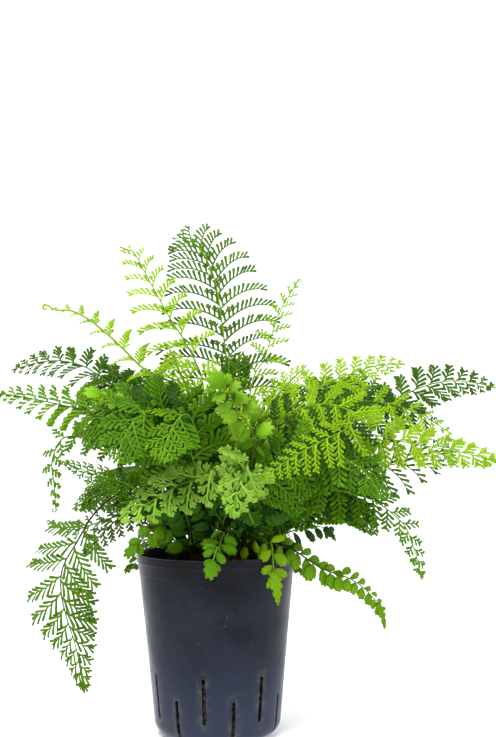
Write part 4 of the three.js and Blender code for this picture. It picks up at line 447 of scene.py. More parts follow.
         len=[[0, 8.9, 42.9, 40, 36.6, 32.9, 28.8, 24.4, 19.6, 14, 6.8],
              [0, 0, 0, 40, 36.6, 32.9, 28.8, 24.4, 19.6, 14, 6.8]]),
    dict(name="frond_back_left_long", kind="B", tone="mid", st=0.34, n=11, q=0.42, a0=74, a1=44, dr=0.3, ml=50, f0=[0.649, -0.468, 0.6], f1=[-0.33, 0.407, 0.852],
         P=[[-18, 12.1, 175.1], [-25, 17.1, 199.6], [-40.4, 28.9, 232], [-59, 44.1, 254.7], [-80.3, 62.4, 266.1], [-103.8, 83.3, 265], [-125.9, 103.8, 252.8], [-146, 122.8, 233.1]],
         len=[[41.7, 42.8, 41.2, 38.5, 35.2, 31.6, 27.7, 23.5, 18.8, 13.4, 6.5],
              [16.7, 34.3, 41.2, 38.5, 35.2, 31.6, 27.7, 23.5, 18.8, 13.4, 6.5]]),
    dict(name="frond_back_right_long", kind="B", tone="mid", st=0.34, n=11, q=0.42, a0=74, a1=44, dr=0.3, ml=50, f0=[-0.515, -0.622, 0.589], f1=[0.518, 0.137, 0.844],
         P=[[18.3, 13.8, 174.6], [25.4, 19.4, 198.2], [39.6, 31.5, 229.6], [57.2, 47.5, 251.1], [77.2, 66.6, 261.3], [99.3, 88.5, 258.9], [120.1, 109.9, 245.4], [138.9, 129.7, 224.6]],
         len=[[33.4, 42.8, 41.2, 38.5, 35.2, 31.6, 27.7, 23.5, 18.8, 13.4, 6.5],
              [12.5, 42.8, 41.2, 38.5, 35.2, 31.6, 27.7, 23.5, 18.8, 13.4, 6.5]]),
    dict(name="frond_back_long", kind="B", tone="mid", st=0.34, n=11, q=0.42, a0=74, a1=44, dr=0.3, ml=52, f0=[-0.06, -0.798, 0.599], f1=[-0.174, 0.52, 0.836],
         P=[[3, 22.3, 174.8], [4.4, 31.5, 197.8], [7.9, 52.1, 227.8], [12.8, 77.7, 247.7], [18.9, 107.3, 255.9], [26.1, 140.4, 250.9], [33.4, 172, 234.6], [40.2, 200.9, 210.8]],
         len=[[30.4, 44.5, 42.9, 40, 36.6, 32.9, 28.8, 24.4, 19.6, 14, 6.8],
              [43.4, 44.5, 42.9, 40, 36.6, 32.9, 28.8, 24.4, 19.6, 14, 6.8]]),
    dict(name="frond_back_low_left", kind="B", tone="deep", st=0.18, n=11, q=0.42, a0=74, a1=44, dr=0.3, ml=46, f0=[0.135, -0.798, 0.588], f1=[0.042, 0.554, 0.831],
         P=[[-10.4, 23.3, 173.3], [-13.7, 30.2, 188.2], [-21.6, 45.6, 206.8], [-32.1, 64.4, 216.9], [-44.9, 85.9, 216.8], [-59.7, 109.8, 205], [-74.2, 132.4, 184], [-87.8, 153, 157.3]],
         len=[[30.7, 39.4, 37.9, 35.4, 32.4, 29.1, 25.5, 21.6, 17.3, 12.3, 6],
              [38.4, 39.4, 37.9, 35.4, 32.4, 29.1, 25.5, 21.6, 17.3, 12.3, 6]]),
    dict(name="frond_back_low_right", kind="B", tone="deep", st=0.18, n=11, q=0.42, a0=74, a1=44, dr=0.3, ml=46, f0=[-0.263, -0.756, 0.6], f1=[0.038, 0.52, 0.853],
         P=[[9, 24.8, 172.6], [11.8, 31.8, 186.8], [18.5, 47.2, 204.3], [27.4, 66.2, 213.3], [38.3, 88, 212], [51, 112.2, 198.9], [63.6, 135.1, 176.6], [75.4, 156, 148.6]],
         len=[[38.4, 39.4, 37.9, 35.4, 32.4, 29.1, 25.5, 21.6, 17.3, 12.3, 6],
              [38.4, 39.4, 37.9, 35.4, 32.4, 29.1, 25.5, 21.6, 17.3, 12.3, 6]]),
    dict(name="frond_back_arching_left", kind="B", tone="mid", st=0.24, n=11, q=0.42, a0=74, a1=44, dr=0.3, ml=34, f0=[0.73, -0.328, 0.599], f1=[-0.357, 0.437, 0.825],
         P=[[-24.8, 9, 172.6], [-31.2, 11.7, 194.6], [-43.8, 15.2, 224.4], [-60.4, 19.9, 245], [-79.6, 25.1, 255.3], [-101.3, 30.6, 254.1], [-122.2, 35.6, 242.7], [-141.3, 39.9, 224.6]],
         len=[[8.5, 29.1, 5.6, 26.2, 23.9, 21.5, 18.8, 16, 12.8, 9.1, 4.4],
              [17, 20.4, 16.8, 15.7, 14.4, 15, 17, 16, 12.8, 9.1, 4.4]]),
    dict(name="frond_back_arching_right", kind="B", tone="mid", st=0.24, n=11, q=0.42, a0=74, a1=44, dr=0.3, ml=34, f0=[-0.731, -0.327, 0.599], f1=[0.428, 0.294, 0.855],
         P=[[25.7, 9.4, 171.8], [32.4, 11.3, 193.8], [44.5, 16.2, 223.3], [60.6, 20.3, 243.9], [79.6, 25.2, 254], [101, 30.6, 252.4], [121.4, 35.4, 240.5], [140.3, 39.7, 221.8]],
         len=[[0, 0, 0, 0, 23.9, 21.5, 18.8, 16, 12.8, 9.1, 4.4],
              [0, 17.5, 11.2, 15.7, 14.4, 17.2, 18.8, 16, 12.8, 9.1, 4.4]]),
    dict(name="frond_back_broad", kind="C", tone="pale", st=0.36, n=7, q=0.35, a0=64, a1=36, dr=0.16, ml=40, f0=[-0.05, -0.811, 0.582], f1=[-0.076, 0.503, 0.861],
         P=[[-2.5, 10.1, 177.8], [-3.7, 16.2, 204.2], [-6, 29.8, 239.5], [-10, 46.7, 265.2], [-9.9, 67.4, 280], [-9.8, 89.9, 283.3], [-10.1, 111.8, 275.3], [-10, 131.8, 259.8]],
         len=[[0, 0, 29.7, 25.3, 20.3, 14.5, 7],
              [0, 33.2, 29.7, 25.3, 20.3, 14.5, 7]]),
    dict(name="frond_back_broad_right", kind="C", tone="pale", st=0.34, n=7, q=0.35, a0=64, a1=36, dr=0.16, ml=38, f0=[-0.456, -0.658, 0.599], f1=[0.353, 0.366, 0.861],
         P=[[13.4, 16.5, 175.3], [17.1, 21.3, 195.4], [24.9, 32.4, 221.9], [34.1, 46.7, 240], [44.2, 63.7, 248.3], [55.2, 83, 245.7], [65.3, 101.8, 233.7], [74.3, 119.1, 215.3]],
         len=[[9.7, 12.6, 28.2, 24, 19.3, 13.7, 6.7],
              [25.8, 15.8, 11.3, 24, 19.3, 13.7, 6.7]]),
    dict(name="frond_juvenile_back_left", kind="D", tone="mid", st=0.16, n=9, q=0.15, a0=72, a1=46, dr=0.25, ml=18, f0=[0.607, -0.522, 0.599], f1=[-0.296, 0.42, 0.858],
         P=[[-19.7, 19, 171.8], [-23.4, 22.4, 177.8], [-32, 29.8, 185], [-42.9, 38.6, 188.4], [-55.9, 48.5, 191.8], [-70.7, 59.4, 186.8], [-85.1, 69.5, 168], [-98.4, 78.6, 153.8]],
         len=[[14.7, 15.2, 15.3, 15, 14.1, 12.8, 11, 8.7, 5.5],
              [14.7, 15.2, 15.3, 15, 14.1, 12.8, 11, 8.7, 5.5]]),
    dict(name="frond_juvenile_back_right", kind="D", tone="mid", st=0.16, n=9, q=0.15, a0=72, a1=46, dr=0.25, ml=18, f0=[-0.596, -0.535, 0.599], f1=[0.422, 0.294, 0.858],
         P=[[19, 19.7, 171.8], [22.5, 23.1, 177.8], [30.4, 30.4, 184.9], [40.6, 39.2, 187.8], [52.8, 49.2, 190], [66.6, 60.1, 187.5], [80, 70.3, 163.7], [92.4, 79.5, 147.8]],
         len=[[14.7, 15.2, 15.3, 15, 14.1, 12.8, 11, 8.7, 5.5],
              [14.7, 15.2, 15.3, 15, 14.1, 12.8, 11, 8.7, 5.5]]),
    dict(name="frond_juvenile_back", kind="D", tone="lime", st=0.16, n=9, q=0.15, a0=72, a1=46, dr=0.25, ml=18, f0=[-0.04, -0.8, 0.599], f1=[-0.17, 0.495, 0.852],
         P=[[-1, 27.4, 171.8], [-1.2, 32, 178.5], [-1.8, 42.3, 186.6], [-2.9, 55.1, 190.5], [-4.3, 70, 190.9], [-6, 86.7, 189.2], [-7.8, 102.6, 169.3], [-9.5, 117.1, 153.8]],
         len=[[14.7, 15.2, 15.3, 15, 14.1, 12.8, 11, 8.7, 5.5],
              [14.7, 15.2, 15.3, 15, 14.1, 12.8, 11, 8.7, 5.5]]),
]


# ---- materials ---------------------------------------------------------------------
def nodes_of(name):
    mat = bpy.data.materials.new(name)
    mat.use_nodes = True
    nt = mat.node_tree
    nt.nodes.clear()
    out = nt.nodes.new("ShaderNodeOutputMaterial")
    return mat, nt, out


def new(nt, kind, **inputs):
    n = nt.nodes.new(kind)
    for k, v in inputs.items():
        n.inputs[k.replace("_", " ")].default_value = v
    return n


def noise(nt, coords, scale, detail=3.0, rough=0.55):
    n = nt.nodes.new("ShaderNodeTexNoise")
    n.inputs["Scale"].default_value = scale
    n.inputs["Detail"].default_value = detail
    n.inputs["Roughness"].default_value = rough
    nt.links.new(coords, n.inputs["Vector"])
    return n.outputs["Fac"]


def ramp(nt, fac, *stops):
    r = nt.nodes.new("ShaderNodeValToRGB")
    e = r.color_ramp.elements
    while len(e) < len(stops):
        e.new(0.5)
    for el, (p, c) in zip(e, stops):
        el.position = p
        el.color = (*c, 1) if len(c) == 3 else c
    nt.links.new(fac, r.inputs["Fac"])
    return r.outputs["Color"]


def mix(nt, fac, a, b, mode="MIX"):
    m = nt.nodes.new("ShaderNodeMix")
    m.data_type = "RGBA"
    m.blend_type = mode
    for socket, value in ((m.inputs[0], fac), (m.inputs[6], a), (m.inputs[7], b)):
        if hasattr(value, "links") or isinstance(value, bpy.types.NodeSocket):
            nt.links.new(value, socket)
        else:
            socket.default_value = (*value, 1) if isinstance(value, tuple) and len(value) == 3 else value
    return m.outputs[2]


def maths(nt, op, a, b=0.0, clamp=False):
    m = nt.nodes.new("ShaderNodeMath")
    m.operation = op
    m.use_clamp = clamp
    for socket, value in ((m.inputs[0], a), (m.inputs[1], b)):
        if isinstance(value, bpy.types.NodeSocket):
            nt.links.new(value, socket)
        else:
            socket.default_value = value
    return m.outputs[0]


def lin(r, g, b):
    f = lambda c: c / 12.92 if c <= 0.04045 else ((c + 0.055) / 1.055) ** 2.4
    return tuple(f(x / 255) for x in (r, g, b))


def leaf_material(name, deep, body, fresh, glow, gloss=0.44, through=0.30, rim=0.30):
    """Thin leaf: mottled upper side, paler underside, lighter midrib and tips, with light through it."""
    mat, nt, out = nodes_of(name)
    co = nt.nodes.new("ShaderNodeTexCoord").outputs["Object"]
    a = nt.nodes.new("ShaderNodeAttribute")
    a.attribute_name = "leaf"
    sep = nt.nodes.new("ShaderNodeSeparateXYZ")
    nt.links.new(a.outputs["Vector"], sep.inputs[0])
    along, chance, under = sep.outputs
    patch = noise(nt, co, 26, 2)
    fine = noise(nt, co, 900, 3)
    tone = maths(nt, "ADD", maths(nt, "MULTIPLY", chance, 0.62), maths(nt, "MULTIPLY", patch, 0.5))
    colour = ramp(nt, tone, (0.12, deep), (0.48, body), (0.92, fresh))
    tip = maths(nt, "MULTIPLY", maths(nt, "POWER", along, 2.2), 0.42)
    colour = mix(nt, tip, colour, fresh)
    colour = mix(nt, maths(nt, "MULTIPLY", fine, 0.34), colour, deep)
    edge = maths(nt, "MULTIPLY", maths(nt, "POWER", maths(nt, "MINIMUM", maths(nt, "MULTIPLY", under, 3.33), 1.0), 2.5), rim)
    colour = mix(nt, edge, colour, fresh)
    pale = tuple(0.72 * c + 0.28 * g for c, g in zip(body, lin(140, 176, 84)))
    colour = mix(nt, maths(nt, "MULTIPLY", maths(nt, "GREATER_THAN", under, 0.55), 0.55), colour, pale)
    p = new(nt, "ShaderNodeBsdfPrincipled")
    p.inputs["Specular IOR Level"].default_value = 0.10
    nt.links.new(colour, p.inputs["Base Color"])
    rough = ramp(nt, fine, (0.3, (gloss - 0.08,) * 3), (0.7, (gloss + 0.12,) * 3))
    nt.links.new(rough, p.inputs["Roughness"])
    bump = nt.nodes.new("ShaderNodeBump")
    bump.inputs["Strength"].default_value = 0.35
    bump.inputs["Distance"].default_value = 0.0003
    nt.links.new(noise(nt, co, 620, 2), bump.inputs["Height"])
    nt.links.new(bump.outputs[0], p.inputs["Normal"])
    tr = new(nt, "ShaderNodeBsdfTranslucent")
    nt.links.new(mix(nt, 0.55, colour, glow), tr.inputs["Color"])
    mx = nt.nodes.new("ShaderNodeMixShader")
    mx.inputs[0].default_value = through
    nt.links.new(p.outputs[0], mx.inputs[1])
    nt.links.new(tr.outputs[0], mx.inputs[2])
    nt.links.new(mx.outputs[0], out.inputs[0])
    return mat


def plain_material(name, low, high, scale, rough=(0.5, 0.7), bump=0.3, depth=0.0004, along=None, shine=0.35):
    """Two tones broken up by noise, and optionally changed along the piece by the point vector's X."""
    mat, nt, out = nodes_of(name)
    co = nt.nodes.new("ShaderNodeTexCoord").outputs["Object"]
    f = noise(nt, co, scale, 5, 0.65)
    colour = ramp(nt, f, (0.32, low), (0.70, high))
    if along:
        a = nt.nodes.new("ShaderNodeAttribute")
        a.attribute_name = "leaf"
        sep = nt.nodes.new("ShaderNodeSeparateXYZ")
        nt.links.new(a.outputs["Vector"], sep.inputs[0])
        green = ramp(nt, f, (0.32, along[0]), (0.70, along[1]))
        colour = mix(nt, ramp(nt, sep.outputs[0], (along[2], (0, 0, 0)), (along[3], (1, 1, 1))), colour, green)
    p = new(nt, "ShaderNodeBsdfPrincipled")
    p.inputs["Specular IOR Level"].default_value = shine
    nt.links.new(colour, p.inputs["Base Color"])
    nt.links.new(ramp(nt, noise(nt, co, scale * 2.3, 3), (0.3, (rough[0],) * 3), (0.7, (rough[1],) * 3)), p.inputs["Roughness"])
    b = nt.nodes.new("ShaderNodeBump")
    b.inputs["Strength"].default_value = bump
    b.inputs["Distance"].default_value = depth
    nt.links.new(noise(nt, co, scale * 3.1, 4), b.inputs["Height"])
    nt.links.new(b.outputs[0], p.inputs["Normal"])
    nt.links.new(p.outputs[0], out.inputs[0])
    return mat


# The deep tone is the leaf green painted dark as shade: it colours the fronds that sit low and inside the mass, and the
# extra rows of dark pinnae.
LEAF = {
    "deep": leaf_material("leaf_painted_shade", lin(10, 32, 0), lin(24, 58, 0), lin(48, 94, 6), lin(80, 136, 6), 0.5, 0.16),
    "dark": leaf_material("leaf_dark", lin(26, 56, 0), lin(54, 94, 4), lin(88, 132, 14), lin(110, 160, 10)),
    "mid": leaf_material("leaf_mid", lin(28, 68, 0), lin(68, 118, 0), lin(114, 160, 16), lin(134, 184, 6)),
    "bright": leaf_material("leaf_bright", lin(62, 106, 0), lin(120, 164, 4), lin(166, 200, 30), lin(180, 214, 16)),
    "lime": leaf_material("leaf_lime", lin(58, 108, 0), lin(108, 158, 12), lin(166, 206, 62), lin(160, 204, 30), 0.5, 0.26, 0.6),
    "pale": leaf_material("leaf_pale", lin(54, 102, 4), lin(116, 162, 38), lin(160, 200, 84), lin(140, 188, 40), 0.56, 0.22, 0.4),
}
STALK = plain_material("stalk", lin(24, 26, 8), lin(46, 46, 18), 380, (0.42, 0.6), 0.3, 0.0003,
                       (lin(66, 104, 6), lin(104, 146, 20), 0.16, 0.46), shine=0.08)
SCALE = plain_material("crown_scale", lin(38, 24, 14), lin(104, 72, 42), 420, (0.6, 0.85), 0.5)
CLAY = plain_material("fired_clay", lin(62, 34, 22), lin(120, 74, 48), 260, (0.8, 0.98), 0.9, 0.0008)
# The next two are the clay painted dark: painted shade inside the pot and down its slots.
FILL = plain_material("fill_painted_shade", lin(22, 14, 10), lin(52, 34, 24), 300, (0.7, 0.9), 0.8, 0.0008)
SHADED_CLAY = plain_material("clay_painted_shade", lin(12, 9, 6), lin(40, 28, 18), 260, (0.6, 0.8), 0.9, 0.0008)
ROOT = plain_material("root", lin(86, 62, 38), lin(150, 122, 80), 500, (0.6, 0.8), 0.4)


# ---- fronds ------------------------------------------------------------------------
# Leaflets along a pinna: spacing, length, width (mm), angle at its foot and end, arch of the pinna,
# and the share of full length on its foot side, for the pinnae of the first and the second row
KIND = {
    "A": dict(step=5.0, long=12.0, wide=3.4, open=(48, 38), cup=0.1, arch=0.34, lower=(0.8, 0.8)),
    "B": dict(step=5.4, long=14.0, wide=4.6, open=(50, 40), cup=0.25, arch=0.20, lower=(1.0, 1.0)),
    "C": dict(step=9.6, long=17.5, wide=4.5, open=(50, 34), cup=0.2, arch=0.12, lower=(1.0, 1.0)),
}
LOOK = {
    "frond_back_tall": dict(long=14.8, wide=3.5, step=4.9, open=(56, 38), lower=(0.0, 0.0), fork=True, taper=0.34),
    "frond_top_left": dict(long=11.6, wide=3.6, step=4.7, open=(46, 32), lower=(0.0, 0.0), fork=True, taper=0.3),
    "frond_left_young": dict(long=9.5, wide=3.0, step=3.6, open=(40, 26), lower=(0.95, 0.0), taper=0.8, second=0.66, tone=0.3, reach=1.85),
    "frond_left_upper": dict(long=14.5, wide=4.0, step=4.6, open=(42, 30), lower=(0.85, 0.0), taper=0.3),
    "frond_left_lower": dict(long=14.5, wide=4.6, step=5.2, open=(44, 30), lower=(0.3, 0.0), broad=True, taper=0.3),
    "frond_left_hanging": dict(least=0.62, long=16.0, wide=3.7, step=6.0, open=(40, 27), lower=(0.9, 0.9), taper=0.3, narrow=0.62, tone=0.7),
    "frond_left_drooping": dict(long=13.0, wide=4.4, step=4.8, lower=(0.7, 0.7), tone=0.25),
    "frond_top_right": dict(long=11.0, wide=3.4, step=4.8, lower=(0.5, 0.5)),
    "frond_right_slender": dict(long=13.5, wide=4.2, step=6.0, open=(48, 36), lower=(0.0, 0.0), taper=0.3),
    "frond_right_upper": dict(long=15.0, wide=4.4, step=5.2, open=(46, 32), lower=(0.85, 0.85), taper=0.3),
    "frond_right_top": dict(long=13.0, wide=3.8, step=5.0, lower=(0.8, 0.8), taper=0.35),
    "frond_right_long": dict(least=0.72, long=14.4, wide=3.9, step=4.9, open=(40, 29), taper=0.35, narrow=0.05),
    "frond_right_arching": dict(least=0.55, long=13.4, wide=4.0, step=5.2, taper=0.4, narrow=0.42),
    "frond_left_curled": dict(long=10.0, wide=3.8, step=4.6, lower=(0.5, 0.5)),
    "frond_juvenile_right_trailing": dict(tone=0.9, crowd=1.5, second=0.72, big=1.25),
    "frond_left_low": dict(long=10.8, wide=3.5, step=4.8, tone=0.3, crowd=1.3),
    "frond_left_short": dict(crowd=1.25),
    "frond_front_left_inner": dict(tone=0.95, crowd=1.7, big=1.12), "frond_front_right_inner": dict(tone=0.9, crowd=1.7, big=1.12),
    "frond_front_low": dict(tone=0.9, crowd=1.2), "frond_juvenile_front_right": dict(tone=0.06),
    "frond_centre_round": dict(fan=True, tone=0.0, crowd=1.6, big=0.95),
    "frond_left_lime_round": dict(fan=True, tone=0.3, crowd=1.3, big=0.92),
    "frond_front_right_high": dict(long=9.6, wide=3.2, step=4.8, open=(46, 32), taper=0.45, first=0.7, crowd=1.15, tone=0.1),
    "frond_front_left_broad": dict(crowd=1.17, tone=0.35), "frond_front_centre_broad": dict(crowd=1.0, tone=0.3),
    "frond_left_small": dict(long=11.0, wide=3.8, step=4.8, open=(46, 32), taper=0.3),
    "frond_centre_upright": dict(crowd=1.4), "frond_left_mid_dense": dict(crowd=1.3), "frond_right_mid_bright": dict(long=9.5, wide=3.3, step=4.6, open=(44, 32), taper=0.5, tone=0.15),
    "frond_right_low_dense": dict(crowd=1.4), "frond_right_upright": dict(crowd=1.4), "frond_left_side_high": dict(crowd=1.3),
    "frond_right_side_high": dict(crowd=1.4), "frond_back_high": dict(crowd=1.3), "frond_right_front_dense": dict(crowd=1.25),
    "frond_juvenile_front_centre": dict(tone=0.5, crowd=1.35, big=1.08),
    "frond_juvenile_rim_left": dict(tone=0.7),
}
for back_ in ("back_left_long", "back_right_long", "back_long", "back_low_left", "back_low_right"):
    LOOK["frond_" + back_] = dict(long=12.5, wide=4.0, step=5.2, narrow=0.5, taper=0.35, crowd=1.25)
CURL = {"frond_left_young": 3.2, "frond_left_drooping": 2.2, "frond_top_right": 1.8, "frond_left_curled": 2.4}
# fronds whose stalk stays dark far up: how far along the change to green has gone at the tip
RIPE = {"frond_left_hanging": 0.34, "frond_left_upper": 0.36, "frond_left_lower": 0.34, "frond_right_slender": 0.36,
        "frond_back_tall": 0.62, "frond_left_drooping": 0.4, "frond_left_curled": 0.4, "frond_left_small": 0.36,
        "frond_right_upper": 0.5, "frond_top_left": 0.62}
# toothed blade that ends a juvenile frond: length and width in mm
TIP = {"frond_juvenile_front_right": (36, 15), "frond_juvenile_right_trailing": (30, 10), "frond_juvenile_right_small": (22, 10)}


def turned(d, n, degrees):
    a = math.radians(degrees)
    return math.cos(a) * d + math.sin(a) * np.cross(n, d)


def frond(f):
    R = rail(f["P"])
    b = Build()
    total = R[1][-1]
    kind, name = f["kind"], f["name"]
    # stalk and rachis
    s = np.linspace(0, 1, max(24, int(total / 4)))
    P = at(R, s)
    T, N, L = frame_at(f, R, s)
    rad = 1.45 + (0.50 - 1.45) * s**0.75
    if name == "frond_left_young":
        rad = 1.6 + (1.15 - 1.6) * s
    if name in RIPE:
        rad = rad * 1.15
    if name in CURL:
        r0 = CURL[name]
        e, t0 = P[-1], T[-1]
        down = unit(-UP + (UP @ t0) * t0)
        k = np.linspace(0.12, 1, 18)
        ang = k * 1.6 * np.pi
        rr = r0 * (1 - 0.5 * k)
        C = e + down * r0
        extra = C + rr[:, None] * (np.sin(ang)[:, None] * t0 - np.cos(ang)[:, None] * down)
        P = np.vstack([P, extra])
        T = unit(np.gradient(P, axis=0))
        n = np.cross(down, t0)
        N = np.vstack([N, np.tile(n, (len(extra), 1))])
        N = unit(N - (N * T).sum(-1, keepdims=True) * T)
        rad = np.r_[rad, np.linspace(rad[-1] * (1.25 if name == "frond_left_young" else 1.0), 0.7, len(extra))]
        s = np.r_[s, np.ones(len(extra))]
    ring_s = np.repeat(s * RIPE.get(name, {"A": 1.0, "B": 0.8, "C": 0.5, "D": 0.55}[kind]), 8)
    tube(b, P, rad, T, N, 8, np.stack([np.r_[ring_s, ring_s[0], ring_s[-1]], np.zeros(len(ring_s) + 2), np.zeros(len(ring_s) + 2)], -1), 0 if name == "frond_left_young" else 1, 0.85)
    # pinnae
    grown = np.array(f["len"])
    n = int(round(f["n"] * LOOK.get(name, {}).get("crowd", 1.0)))
    x = np.arange(n + 1) / n
    if n != f["n"]:
        mid_ = (np.arange(f["n"]) + 0.5) / f["n"]
        grown = np.stack([np.interp((np.arange(n) + 0.5) / n, mid_, r_) for r_ in grown])
    st = f["st"] + (0.985 - f["st"]) * ((1 + f["q"]) * x - f["q"] * x * x)
    got = {k: [] for k in ("base", "D", "N", "len", "wid", "bend", "swing", "shade")}
    painted_shade_rows = {k: [] for k in got}

    def put(base, D, Nn, ln, wd, bend, swing, shade, to=got):
        for k, val in zip(to, (base, D, Nn, ln, wd, bend, swing, shade)):
            to[k].append(val)

    K = dict(KIND.get(kind, KIND["B"]), **LOOK.get(name, {}))
    tone0 = rng.uniform(0.15, 0.55)
    tone0 = K.get("tone", tone0)

    def pinna(sm, side, row, length, xm, tone, to=got, back=0.0):
        B0 = at(R, [sm])[0]
        t_, n_, l_ = (q[0] for q in frame_at(f, R, sm))
        ang = math.radians(f["a0"] + (f["a1"] - f["a0"]) * xm + rng.normal(0, 2.5))
        D0 = math.cos(ang) * t_ + math.sin(ang) * side * l_
        if back:
            D0 = unit(D0 - n_ * back)
        elif "crowd" in K:
            D0 = unit(D0 + n_ * rng.uniform(-0.22, 0.16))
        m = max(6, int(length / 2.5))
        u = np.linspace(0, 1, m)[:, None]
        dr = f["dr"] * length * length / 60.0
        path = lambda u: B0 + D0 * (length * u) - UP * (dr * u * u) + t_ * (K["arch"] * length * u * (1 - u))
        C = path(u)
        Tc = unit(np.gradient(C, axis=0))
        Nc = unit(0.86 * n_ + 0.14 * UP + np.zeros_like(Tc))
        Nc = unit(Nc - (Nc * Tc).sum(-1, keepdims=True) * Tc)
        slim = 0.6 + 0.4 * min(1, length / 40)
        band = {"A": (1.15, 0.55), "B": (1.3, 0.55), "C": (1.6, 0.9)}[kind]
        # slot 2 holds the deep leaf green, painted shade
        slot = 0 if to is got else 2
        tube(b, C, np.linspace(band[0], band[1], m) * slim, Tc, Nc, 6, (0.72, min(1, tone + 0.2), 0), slot, 0.36 if kind != "C" else 0.2)
        size = max(K.get("least", 0.0), min(1.0, 0.26 + length / 42.0))
        step = K["step"] * (0.66 + 0.34 * size)
        count = max(2, int(round(length * 0.95 / step)))
        low = K["lower"][row]
        fused = K.get("broad") and row == 1 and 0.25 < xm < 0.5
        for j in range(count):
            for sd in (1, -1):
                v = (j + (0.50 if sd > 0 else 0.92)) / count * 0.97
                if v > 0.97:
                    continue
                c = path(v)
                k = min(m - 1, int(round(v * (m - 1))))
                tc, nc = Tc[k], Nc[k]
                wc = np.cross(tc, nc) * sd
                upper = float(wc @ t_) > 0
                share = 1.0 if upper else low
                if not upper and low == 0.0:
                    continue
                op = math.radians(K["open"][0] + (K["open"][1] - K["open"][0]) * v + rng.normal(0, 3))
                d = math.cos(op) * tc + math.sin(op) * wc
                nn = unit(nc + 0.14 * rng.normal(size=3))
                ln = K["long"] * size * (1.0 - K.get("taper", 0.45) * v**1.5) * rng.uniform(0.92, 1.07) * share
                wd = K["wide"] * (0.55 + 0.45 * size) * (1 - 0.22 * v) * (0.7 + 0.3 * share)
                sh = float(np.clip(tone + rng.normal(0, 0.09) + 0.12 * v, 0, 1))
                if fused:
                    wd *= 1.75
                if kind == "C":
                    # a hand of blunt fingers that share one foot
                    put(c, d, nn, ln, wd, 0.10, 0.0, sh, to)
                    for at_, turn, part, w_ in ((0.30, 31, 0.60, 0.80), (0.38, -31, 0.52, 0.80)):
                        put(c + d * (ln * at_), turned(d, nn, turn * (1 if sd > 0 else -1)), nn, ln * part, wd * w_, 0.10, 0.0, sh, to)
                    continue
                put(c, d, nn, ln, wd, 0.08, 0.03 * sd, sh, to)
                if upper and v < 0.24 and size > 0.75 and (kind == "B" or K.get("fork")):
                    for turn, part in ((-34, 0.5), (30, 0.42)):
                        put(c + d * (ln * 0.40), turned(d, nn, turn), nn, ln * part, wd * (0.85 if kind == "B" else 0.62), 0.1, 0.0, sh, to)
        put(C[-2], unit(C[-1] - C[-2]), Nc[-1], K["long"] * size * 0.55, K["wide"] * 0.9 * size, 0.1, 0.0, tone, to)

    blade = TIP.get(name, (f["ml"] * 1.05, f["ml"] * 0.74))
    s_end = 1 - blade[0] * 0.92 / total
    for i in range(n):
        xm = (i + 0.5) / n
        for row, side in ((0, 1), (1, -1)):
            # the pair is a little staggered, as on the real blade
            sm = st[i] + (st[i + 1] - st[i]) * (0.36 if side > 0 else 0.64)
            want = f["ml"] * float(profile(xm, kind))
            length = max(grown[row][i], (0.86 if kind != "D" else 1.0) * want, 3.5) * rng.uniform(0.96, 1.04)
            length *= 1 - K.get("narrow", 0.0) * xm**1.1
            if "reach" in K:
                length = K["reach"] * want * (1.0 - 0.35 * xm)
            tone = float(np.clip(tone0 + rng.normal(0, 0.10), 0, 1))
            if kind != "D":
                pinna(sm, side, row, length * K.get("second" if row == 1 else "first", 1.0), xm, tone)
                # a second row of pinnae just behind the first, in the deep leaf green: painted shade that fills the
                # gaps with dark green
                if kind == "B" and name != "frond_right_long" and "_back_" not in name and xm < (0.4 if name == "frond_right_arching" else 0.85):
                    pinna(sm + 0.5 * (st[i + 1] - st[i]), side, row, 0.84 * length, xm, 0.45, painted_shade_rows, 0.30)
                continue
            if sm > s_end + 0.35 * (1 - s_end):
                continue
            B0 = at(R, [sm])[0]
            t_, n_, l_ = (q[0] for q in frame_at(f, R, sm))
            ang = math.radians(f["a0"] + (f["a1"] - f["a0"]) * xm + rng.normal(0, 5))
            D0 = math.cos(ang) * t_ + math.sin(ang) * side * l_
            N0 = unit(n_ * np.array([1, 1, 0.55]) + 0.22 * rng.normal(size=3))
            big = K.get("big", 1.45 if f["tone"] == "deep" else 1.2) * (K.get("second", 1.0) if row == 1 else 1.0)
            grow = big * (0.72 + 0.28 * min(1.0, length / 14))
            Dl = unit(D0 - UP * 0.22 + 0.14 * rng.normal(size=3))
            wide = length * grow * rng.uniform(0.60, 0.74) * (0.8 if f["tone"] == "deep" else 1.0)
            if K.get("fan"):
                Dl = unit(side * l_ + 0.35 * t_ - UP * rng.uniform(0.0, 0.35) + 0.2 * rng.normal(size=3))
                N0 = unit(n_ + 0.55 * UP + 0.3 * rng.normal(size=3))
                wide = length * grow * rng.uniform(0.74, 0.9)
            round_leaf(b, B0 + D0 * 1.0, Dl, N0, length * grow, wide, tone, 0, int(rng.integers(6, 9)) if K.get("fan") else int(rng.integers(7, 10)), "round", 0.34 if K.get("fan") else 0.16)
